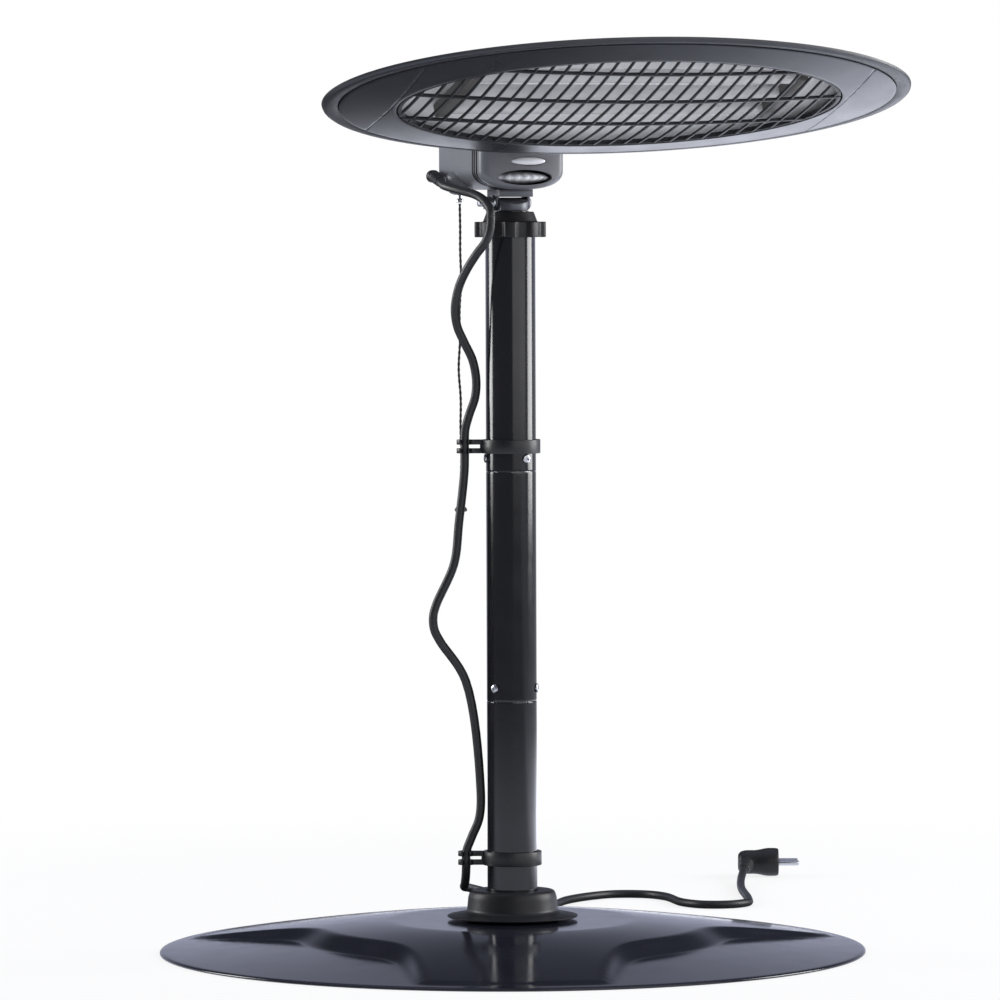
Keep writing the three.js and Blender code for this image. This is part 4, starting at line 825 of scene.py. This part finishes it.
def front_cover():
    back, round_edge, crown_radius, middle = 14, 5.5, 120, 634

    def crown(e):
        return BOX_FRONT - (crown_radius - math.sqrt(crown_radius**2 - e * e))

    rings = [box_ring(0, lambda e: back), box_ring(0, lambda e: back + 1.4)]
    rings += [box_ring(0.8, lambda e: back + 1.9), box_ring(0.8, lambda e: back + 3.9)]
    rings.append(box_ring(0, lambda e: back + 4.4))
    rings.append(box_ring(0, lambda e: crown(e) - round_edge))
    for k in range(1, 9):
        a = math.radians(90) * k / 8
        inset, drop = round_edge * (1 - math.cos(a)), round_edge * (1 - math.sin(a))
        rings.append(box_ring(inset, lambda e, drop=drop: crown(e) - drop))
    for inset in (7, 9, 11, 13):
        rings.append(box_ring(inset, crown))
    verts, faces = shell_from(rings)
    # the last ring's face is filled as a crowned grid of its own
    faces = faces[:-1]
    count = len(rings[0])
    start = (len(rings) - 1) * count
    ring = rings[-1]
    for share in (0.7, 0.4, 0.12):
        base = len(verts)
        for e, y, z in ring:
            verts.append((e * share, -crown(e * share), middle + (z - middle) * share))
        for j in range(count):
            k = (j + 1) % count
            faces.append((start + j, start + k, base + k, base + j))
        start = base
    faces.append(fan(start, count))
    piece = show("control_panel_front", verts, faces, "head", BOX_GREY, "box_grey",
                 "control_box_front", HEAD)
    hollow = shell_from(
        [box_ring(BOX_WALL, lambda e: back - 6), box_ring(BOX_WALL, lambda e: BOX_FRONT - 6.5)]
    )
    dial_window = oval_prism(23.4, 6.1, 0, DIAL_Z, 5, 40)
    lens_window = oval_prism(15.2, 3.6, LENS_E, LENS_Z, 5, 40)
    carved(piece, [hollow, dial_window, lens_window], 0.5)
    # The front cover's groove by the seam is painted black: painted shade.
    paint_seam_shade(piece, back + 1.5, back + 4.3, SEAL_BLACK_AND_SEAM_SHADE)


def rear_body():
    corner = 5
    rings = []
    for k in range(7):
        a = math.radians(90) * k / 6
        inset, depth = corner * (1 - math.sin(a)), BOX_BACK + corner * (1 - math.cos(a))
        rings.append(box_ring(inset, lambda e, depth=depth: depth))
    rings += [box_ring(0, lambda e: BOX_SEAM - 4), box_ring(0.5, lambda e: BOX_SEAM - 3.6)]
    rings.append(box_ring(0.5, lambda e: BOX_SEAM))
    verts, faces = shell_from(rings)
    piece = show("control_box_body", verts, faces, "head", BOX_GREY, "box_grey",
                 "control_box_rear", HEAD)
    hollow = shell_from(
        [box_ring(BOX_WALL, lambda e: BOX_BACK + BOX_WALL), box_ring(BOX_WALL, lambda e: 20)]
    )
    carved(piece, [hollow], 0)
    # The body's recessed band by the seam is painted black: painted shade.
    paint_seam_shade(piece, BOX_SEAM - 3.9, 40, SEAL_BLACK_AND_SEAM_SHADE)
    boss = [
        (0, 606.8), (4, 606.9), (7.4, 608), (9.8, 610.4), (11, 614), (11, 622), (4, 628), (0, 628),
    ]
    show("pull_switch_boss", *turned(soften(boss, 1.2), 56), "head", BOX_GREY, "box_grey", (), PULL)


def gasket_piece():
    rings = [
        box_ring(0.9, lambda e: 11.5), box_ring(0.6, lambda e: 12), box_ring(0.6, lambda e: 13.2),
        box_ring(0.9, lambda e: 13.7),
    ]
    piece = show("box_seal", *shell_from(rings), "head", SEAL_BLACK_AND_SEAM_SHADE, "gasket_rubber",
                 "box_gasket", HEAD)
    hollow = shell_from([box_ring(BOX_WALL, lambda e: 8), box_ring(BOX_WALL, lambda e: 20)])
    carved(piece, [hollow], 0)


front_cover()
rear_body()
gasket_piece()


def dial_piece():
    """A wheel that lies on its side, ribbed round its bulging rim."""
    ribs, half, bore = 24, 5.2, 3.2
    count = ribs * 12
    columns = []
    for i in range(count):
        a = 2 * math.pi * i / count
        rib = 0.75 * math.tanh(2.6 * math.cos(ribs * a))
        column = [(bore, DIAL_Z - half)]
        for k in range(13):
            level = -1 + k / 6
            r = 29.6 - 16.3 * level**2 + rib * (1 - level**2)
            column.append((r, DIAL_Z + half * level))
        column.append((bore, DIAL_Z + half))
        columns.append([(r * math.cos(a), r * math.sin(a), z) for r, z in column])
    show("heat_thumbwheel", *lofted(columns), "dial", DIAL_GREY, "light_grey", "heat_dial",
         HEAD @ Matrix.Translation((0, -DIAL_D, 0)))


dial_piece()
dress("terminal_block", CERAMIC)
for node in ("heat_switch", "tip_over_switch", "pull_switch"):
    dress(node, SATIN_BLACK)


def lens_piece():
    """A flat oval bead."""
    half_e, half_d, half_z = 14.9, 3, 3.3
    verts, rows, count = [], 14, 48
    for i in range(count):
        a = 2 * math.pi * i / count
        for j in range(rows + 1):
            b = math.pi * j / rows
            side, depth = math.sin(b), math.cos(b)
            verts.append(
                (half_e * side * math.cos(a), -half_d * depth, half_z * side * math.sin(a))
            )
    faces = grid_faces(count, rows + 1, wrap_rows=False)
    show("heating_light", verts, faces, "head", LENS_PALE_AND_PAINTED_HIGHLIGHT, "lens_grey", "indicator_lens",
         HEAD @ Matrix.Translation((LENS_E, -31.2, LENS_Z)))


lens_piece()


# ------------------------------------------------------------------ oval head
HALF_LENGTH, HALF_WIDTH = 243, 121
STRETCH = HALF_LENGTH / HALF_WIDTH
LIP = 6.5
RIM_HEIGHT, SHELL_HEIGHT, SHELL_WALL = 3, 24, 2.2
COVER_CROWN, COVER_THICK = 10, 1.8
COVER_EDGE = HALF_WIDTH - LIP - 0.08
OPEN_LENGTH, OPEN_WIDTH = 184, 90
SEAM_P = 187


def cover_face(r):
    """The cover's outside at a radius measured across the oval."""
    return -1 - COVER_CROWN * (1 - (r / COVER_EDGE) ** 2)


def shell_piece():
    steps = 26
    outer, inner = [], []
    for i in range(steps + 1):
        a = math.radians(90) * i / steps
        drop = math.cos(a) ** 2
        rise = SHELL_HEIGHT - RIM_HEIGHT
        outer.append((HALF_WIDTH * math.sin(a), RIM_HEIGHT + rise * drop))
        r = (HALF_WIDTH - LIP) * math.sin(a)
        inner.append((r, RIM_HEIGHT + (rise - SHELL_WALL) * drop))
    lip = [
        (HALF_WIDTH - 0.25, 1.4), (HALF_WIDTH - 0.9, 0.3), (HALF_WIDTH - 2, -0.3),
        (HALF_WIDTH - LIP + 0.8, -0.4), (HALF_WIDTH - LIP, 0.2),
    ]
    profile = [*outer, *lip, *reversed(inner)]
    body = turned(profile, 192, STRETCH)
    show("head_back_shell", *body, "head", BACK_GREY, "head_paint", "back_shell", LAMP, sharp=50)


shell_piece()


def neck_piece():
    """The arm that carries the oval head out from the control box."""
    half, foot, edge = 27, BOX_TOP + FIT, 5
    outline = [(-46, 0), (36, 0), (60, -4.3), (94, -10.5), (104, -3.8), (120.5, 8.3)]
    outline += [(146.5, 24.9), (150, 28.2)]
    for k in range(1, 9):
        t = k / 8
        d = 150 * (1 - t) ** 2 + 108 * 2 * t * (1 - t) + 64 * t * t
        outline.append((d, 28.2 * (1 - t) ** 2 + 32.7 * 2 * t * (1 - t) + 24.7 * t * t))
    for k in range(1, 8):
        t = k / 8
        d = 64 * (1 - t) ** 2 - 46 * t * t
        outline.append((d, 24.7 * (1 - t) ** 2 + 14.7 * 2 * t * (1 - t)))
    rings = []
    for k in range(-8, 9):
        a = math.radians(90) * k / 8
        e = (half - edge) * (k > 0) - (half - edge) * (k < 0) + edge * math.sin(a)
        inset = edge * (1 - math.cos(a))
        ring = []
        for d, rise in outline:
            pull = Vector((50 - d, 12 - rise)).normalized() * inset
            ring.append((e, -(d + pull.x), foot + rise + pull.y * (rise > 0)))
        rings.append(ring)
    show("head_arm", *shell_from(rings), "head", BACK_GREY, "head_paint", (), HEAD, sharp=40)


neck_piece()


def cover_sheet():
    """The crowned front cover as one sheet, from the window's edge to the rim."""
    count, rows = 240, 16
    mesh = bmesh.new()
    grid = []
    for i in range(count):
        a = 2 * math.pi * i / count
        row = []
        for j in range(rows + 1):
            t = j / rows
            p = (OPEN_LENGTH * (1 - t) + COVER_EDGE * STRETCH * t) * math.cos(a)
            q = (OPEN_WIDTH * (1 - t) + COVER_EDGE * t) * math.sin(a)
            r = math.hypot(p / STRETCH, q)
            row.append(mesh.verts.new((p, q, cover_face(r))))
        grid.append(row)
    for i in range(count):
        k = (i + 1) % count
        for j in range(rows):
            mesh.faces.new((grid[i][j], grid[k][j], grid[k][j + 1], grid[i][j + 1]))
    return mesh


def cover_part(name, node, low, high):
    """The stretch of the front cover between two seams."""
    mesh = cover_sheet()
    for at, normal in ((low, (-1, 0, 0)), (high, (1, 0, 0))):
        geometry = [*mesh.verts, *mesh.edges, *mesh.faces]
        bmesh.ops.bisect_plane(
            mesh, geom=geometry, plane_co=(at, 0, 0), plane_no=normal, clear_outer=True
        )
    bmesh.ops.remove_doubles(mesh, verts=mesh.verts, dist=1e-4)
    mesh.transform(Matrix.Scale(MM, 4) @ LAMP)
    data = bpy.data.meshes.new(name)
    mesh.to_mesh(data)
    mesh.free()
    piece = linked(name, data)
    thick = piece.modifiers.new("thick", "SOLIDIFY")
    thick.thickness = COVER_THICK * MM
    thick.offset = -1 if data.polygons[0].normal.z < 0 else 1
    bevel(piece, 0.3, 2, 50)
    apply_modifiers(piece)
    smooth_shading(piece.data, 40)
    piece.data.materials.append(HEAD_GREY)
    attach(piece, "head")
    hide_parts(node)
    return piece


cover_part("head_front_frame", "front_frame", -SEAM_P, SEAM_P)
PAST_END = HALF_LENGTH + 50
cover_part("head_end_cap_left", "end_cap_left", -PAST_END, -SEAM_P - FIT)
cover_part("head_end_cap_right", "end_cap_right", SEAM_P + FIT, PAST_END)


# ------------------------------------------------------------------ grille
GRILLE_DEPTH, GRILLE_RIM = 11, 5.1
BAR_HEIGHT, RIB_HEIGHT, BAR_WIDTH, RIB_WIDTH, RIB_PITCH = 3.5, 2.0, 2.6, 2.1, 12.4
BAR_QS = (-66, -16, 32)
GRILLE_LENGTH, GRILLE_WIDTH = OPEN_LENGTH - 0.6, OPEN_WIDTH - 0.6


def grille_face(p, q):
    """The grille's dished outside."""
    share = (p / OPEN_LENGTH) ** 2 + (q / OPEN_WIDTH) ** 2
    return -GRILLE_DEPTH + (GRILLE_DEPTH - GRILLE_RIM) * share


def bar(start, end, width, height, steps, edge=0.6):
    """A bar of soft rectangular section that follows the grille's dished face."""
    a, b = Vector(start), Vector(end)
    along = (b - a).normalized()
    side = Vector((-along.y, along.x))
    half, low, top = width / 2, (BAR_HEIGHT - height) / 2, (BAR_HEIGHT + height) / 2
    section = soften([(-half, low), (half, low), (half, top), (-half, top)], edge, steps=2)
    verts = []
    for i in range(steps + 1):
        at = a.lerp(b, i / steps)
        z = grille_face(at.x, at.y)
        verts += [(at.x + s * side.x, at.y + s * side.y, z + h) for s, h in section]
    count = len(section)
    faces = grid_faces(steps + 1, count, wrap_columns=False)
    return verts, faces + [fan(0, count), fan(steps * count, count)]


def grille_piece():
    """Ribs across the oval, bars along it and a flanged ring, all in one piece."""
    parts = []
    last = int(GRILLE_LENGTH // RIB_PITCH)
    for i in range(-last, last + 1):
        p = i * RIB_PITCH
        q = (GRILLE_WIDTH - 1) * math.sqrt(1 - (p / GRILLE_LENGTH) ** 2)
        if q > 12:
            parts.append(bar((p, -q), (p, q), RIB_WIDTH, RIB_HEIGHT, 20))
    for q in BAR_QS:
        p = (GRILLE_LENGTH - 1) * math.sqrt(1 - (q / GRILLE_WIDTH) ** 2)
        parts.append(bar((-p, q), (p, q), BAR_WIDTH, RIB_HEIGHT + 0.6, 48))
    flange = cover_face((GRILLE_LENGTH + 4 * GRILLE_LENGTH / GRILLE_WIDTH) / STRETCH)
    bottom = flange + COVER_THICK + FIT
    ring = [
        (GRILLE_WIDTH - 2, -GRILLE_RIM + 0.8), (GRILLE_WIDTH - 0.2, -GRILLE_RIM + 0.8),
        (GRILLE_WIDTH - 0.2, bottom), (GRILLE_WIDTH + 4, bottom),
        (GRILLE_WIDTH + 4, bottom + 1.4), (GRILLE_WIDTH - 2, bottom + 1.4),
    ]
    parts.append(turned(soften(ring, 0.4), 160, GRILLE_LENGTH / GRILLE_WIDTH))
    show("ribbed_guard", *merged(*parts), "head", GRILLE_DARK, "grille_steel", "grille", LAMP)
    return bottom + 1.4


ring_top = grille_piece()


def reflector_piece():
    rim, depth, steps = ring_top + FIT, 19, 30
    radius = OPEN_WIDTH + 4
    inner = []
    for i in range(steps + 1):
        s = math.sin(math.radians(90) * i / steps)
        inner.append((radius * s, rim + (depth - rim) * math.sqrt(max(0, 1 - s**2.4))))
    outer = [(r, z + 0.8) for r, z in inner]
    show("mirror_dish", *turned([*outer, *reversed(inner)], 160, OPEN_LENGTH / OPEN_WIDTH), "head",
         MIRROR_PAINTED_REFLECTION, "mirror_aluminium", "reflector", LAMP, sharp=60)


reflector_piece()


TUBE_QS, TUBE_DEPTH = (-36, -3, 30), 4.5
TUBE_REACH, TUBE_RADIUS, TUBE_BORE = 131.7, 5.5, 4.5


def element_pieces():
    for number, q in enumerate(TUBE_QS, 1):
        tube = [
            (TUBE_BORE, -TUBE_REACH), (TUBE_RADIUS, -TUBE_REACH), (TUBE_RADIUS, TUBE_REACH),
            (TUBE_BORE, TUBE_REACH),
        ]
        place = LAMP @ Matrix.Translation((0, q, TUBE_DEPTH)) @ ALONG_X
        show(f"quartz_element_{number}", *turned(soften(tube, 0.3), 48), "head", QUARTZ, "quartz",
             f"heating_element_{number}", place)


element_pieces()
for place in ("left", "right"):
    from_node(f"element_holder_{place}", "head", CERAMIC, 1.2)


# ------------------------------------------------------------------ stage and light
def mixed(tree, factor, first, second):
    """A shader that goes from the first to the second."""
    mix = tree.nodes.new("ShaderNodeMixShader")
    tree.links.new(factor, mix.inputs["Fac"])
    tree.links.new(first, mix.inputs[1])
    tree.links.new(second, mix.inputs[2])
    return mix.outputs["Shader"]


def spread(tree, source, from_low, from_high, to_low, to_high):
    """A value that goes smoothly from one level to another."""
    made = tree.nodes.new("ShaderNodeMapRange")
    made.interpolation_type = "SMOOTHSTEP"
    put(made, {"From Min": from_low, "From Max": from_high, "To Min": to_low, "To Max": to_high})
    tree.links.new(source, made.inputs["Value"])
    return made.outputs["Result"]


def maths(tree, operation, first, second):
    """A Math node; each side is a number or a socket."""
    made = tree.nodes.new("ShaderNodeMath")
    made.operation = operation
    for socket, value in zip(made.inputs, (first, second)):
        if isinstance(value, (int, float)):
            socket.default_value = value
        else:
            tree.links.new(value, socket)
    return made.outputs["Value"]


def seen_directly(tree):
    """1 for what the camera sees, also through glass, and else 0."""
    rays = tree.nodes.new("ShaderNodeLightPath").outputs
    return maths(tree, "MAXIMUM", rays["Is Camera Ray"], rays["Is Transmission Ray"])


def in_gloss(tree):
    """1 for what a glossy surface mirrors, and else 0."""
    return tree.nodes.new("ShaderNodeLightPath").outputs["Is Glossy Ray"]


def floor_places(tree):
    """Metres from the pole, metres to the back, and a sum of metres to the right and back."""
    where = tree.nodes.new("ShaderNodeTexCoord").outputs["Object"]
    length = tree.nodes.new("ShaderNodeVectorMath")
    length.operation = "LENGTH"
    tree.links.new(where, length.inputs[0])
    parts = tree.nodes.new("ShaderNodeSeparateXYZ")
    tree.links.new(where, parts.inputs[0])
    right = maths(tree, "MULTIPLY", parts.outputs["X"], 0.75)
    back = maths(tree, "MULTIPLY", parts.outputs["Y"], 0.66)
    return length.outputs["Value"], parts.outputs["Y"], maths(tree, "ADD", right, back)


def stage_material():
    """A floor that is near white to the camera, keeps a soft shadow, and glows in metal's gloss."""
    made, tree, shader = nodes_of("studio_floor")
    put(shader, {"Base Color": (0.8, 0.8, 0.81, 1), "Roughness": 0.9, "Specular IOR Level": 0.0})
    away, depth, corner = floor_places(tree)
    mirrored = tree.nodes.new("ShaderNodeEmission")
    put(mirrored, {"Color": (0.86, 0.89, 1.0, 1)})
    front = spread(tree, depth, -0.25, 0.25, 1.15, 0.0)
    level = maths(tree, "MAXIMUM", front, spread(tree, corner, 0.3, 1.0, 0.06, 3.2))
    near = spread(tree, away, 1.2, 2.4, 1.0, 0.16)
    tree.links.new(maths(tree, "MULTIPLY", level, near), mirrored.inputs["Strength"])
    glow = tree.nodes.new("ShaderNodeEmission")
    seen = mixed(tree, in_gloss(tree), shader.outputs["BSDF"], mirrored.outputs["Emission"])
    share = maths(tree, "MULTIPLY", seen_directly(tree), spread(tree, away, 0.7, 1.3, 0.8, 1))
    seen = mixed(tree, share, seen, glow.outputs["Emission"])
    tree.links.new(seen, tree.nodes["Material Output"].inputs["Surface"])
    return made


FLOOR = 30.0  # metres from the middle to each edge
floor_mesh = bpy.data.meshes.new("floor")
floor_mesh.from_pydata(
    [(-FLOOR, -FLOOR, 0), (FLOOR, -FLOOR, 0), (FLOOR, FLOOR, 0), (-FLOOR, FLOOR, 0)],
    [],
    [(0, 1, 2, 3)],
)
floor_mesh.materials.append(stage_material())
floor = linked("floor", floor_mesh)


def studio_world():
    """White to the camera, an even light on the object, and a darker room in its gloss."""
    world = bpy.data.worlds.new("studio")
    world.use_nodes = True
    bpy.context.scene.world = world
    tree = world.node_tree
    light = tree.nodes["Background"]
    put(light, {"Color": (0.9, 0.92, 1.0, 1), "Strength": 0.66})
    room = tree.nodes.new("ShaderNodeBackground")
    put(room, {"Color": (0.74, 0.78, 1.0, 1)})
    parts = tree.nodes.new("ShaderNodeSeparateXYZ")
    tree.links.new(tree.nodes.new("ShaderNodeTexCoord").outputs["Generated"], parts.inputs[0])
    behind = spread(tree, parts.outputs["Y"], -0.2, 0.7, 0.3, 1.0)
    low = spread(tree, parts.outputs["Z"], -0.05, 0.45, 0.74, 0.05)
    low = maths(tree, "MULTIPLY", low, behind)
    high = spread(tree, parts.outputs["Z"], 0.6, 0.95, 0.0, 0.6)
    tree.links.new(maths(tree, "ADD", low, high), room.inputs["Strength"])
    white = tree.nodes.new("ShaderNodeBackground")
    put(white, {"Color": (1, 1, 1, 1)})
    seen = mixed(tree, in_gloss(tree), light.outputs["Background"], room.outputs["Background"])
    seen = mixed(tree, seen_directly(tree), seen, white.outputs["Background"])
    tree.links.new(seen, tree.nodes["World Output"].inputs["Surface"])


studio_world()


def lamp(name, azimuth, away, bottom, top, width, level):
    """A soft box that faces the pole, at degrees to the right of the front and metres away.

    Its level is its brightness in the picture: a lamp's power is four times that per square metre.
    """
    data = bpy.data.lights.new(name, "AREA")
    data.shape = "RECTANGLE"
    data.size, data.size_y = width, top - bottom
    data.energy = 4 * level * width * (top - bottom)
    made = linked(name, data)
    a = math.radians(azimuth)
    made.location = (away * math.sin(a), -away * math.cos(a), (bottom + top) / 2)
    made.rotation_euler = (math.radians(90), 0, a)


lamp("soft_box_right", azimuth=100, away=2.2, bottom=0.26, top=1.56, width=1.15, level=7.5)
lamp("soft_box_left", azimuth=-104, away=2.2, bottom=0.3, top=1.56, width=0.8, level=8)
lamp("fill_right", azimuth=40, away=3.0, bottom=0.3, top=2.4, width=3.6, level=1.05)

bpy.context.scene.view_settings.view_transform = "Standard"
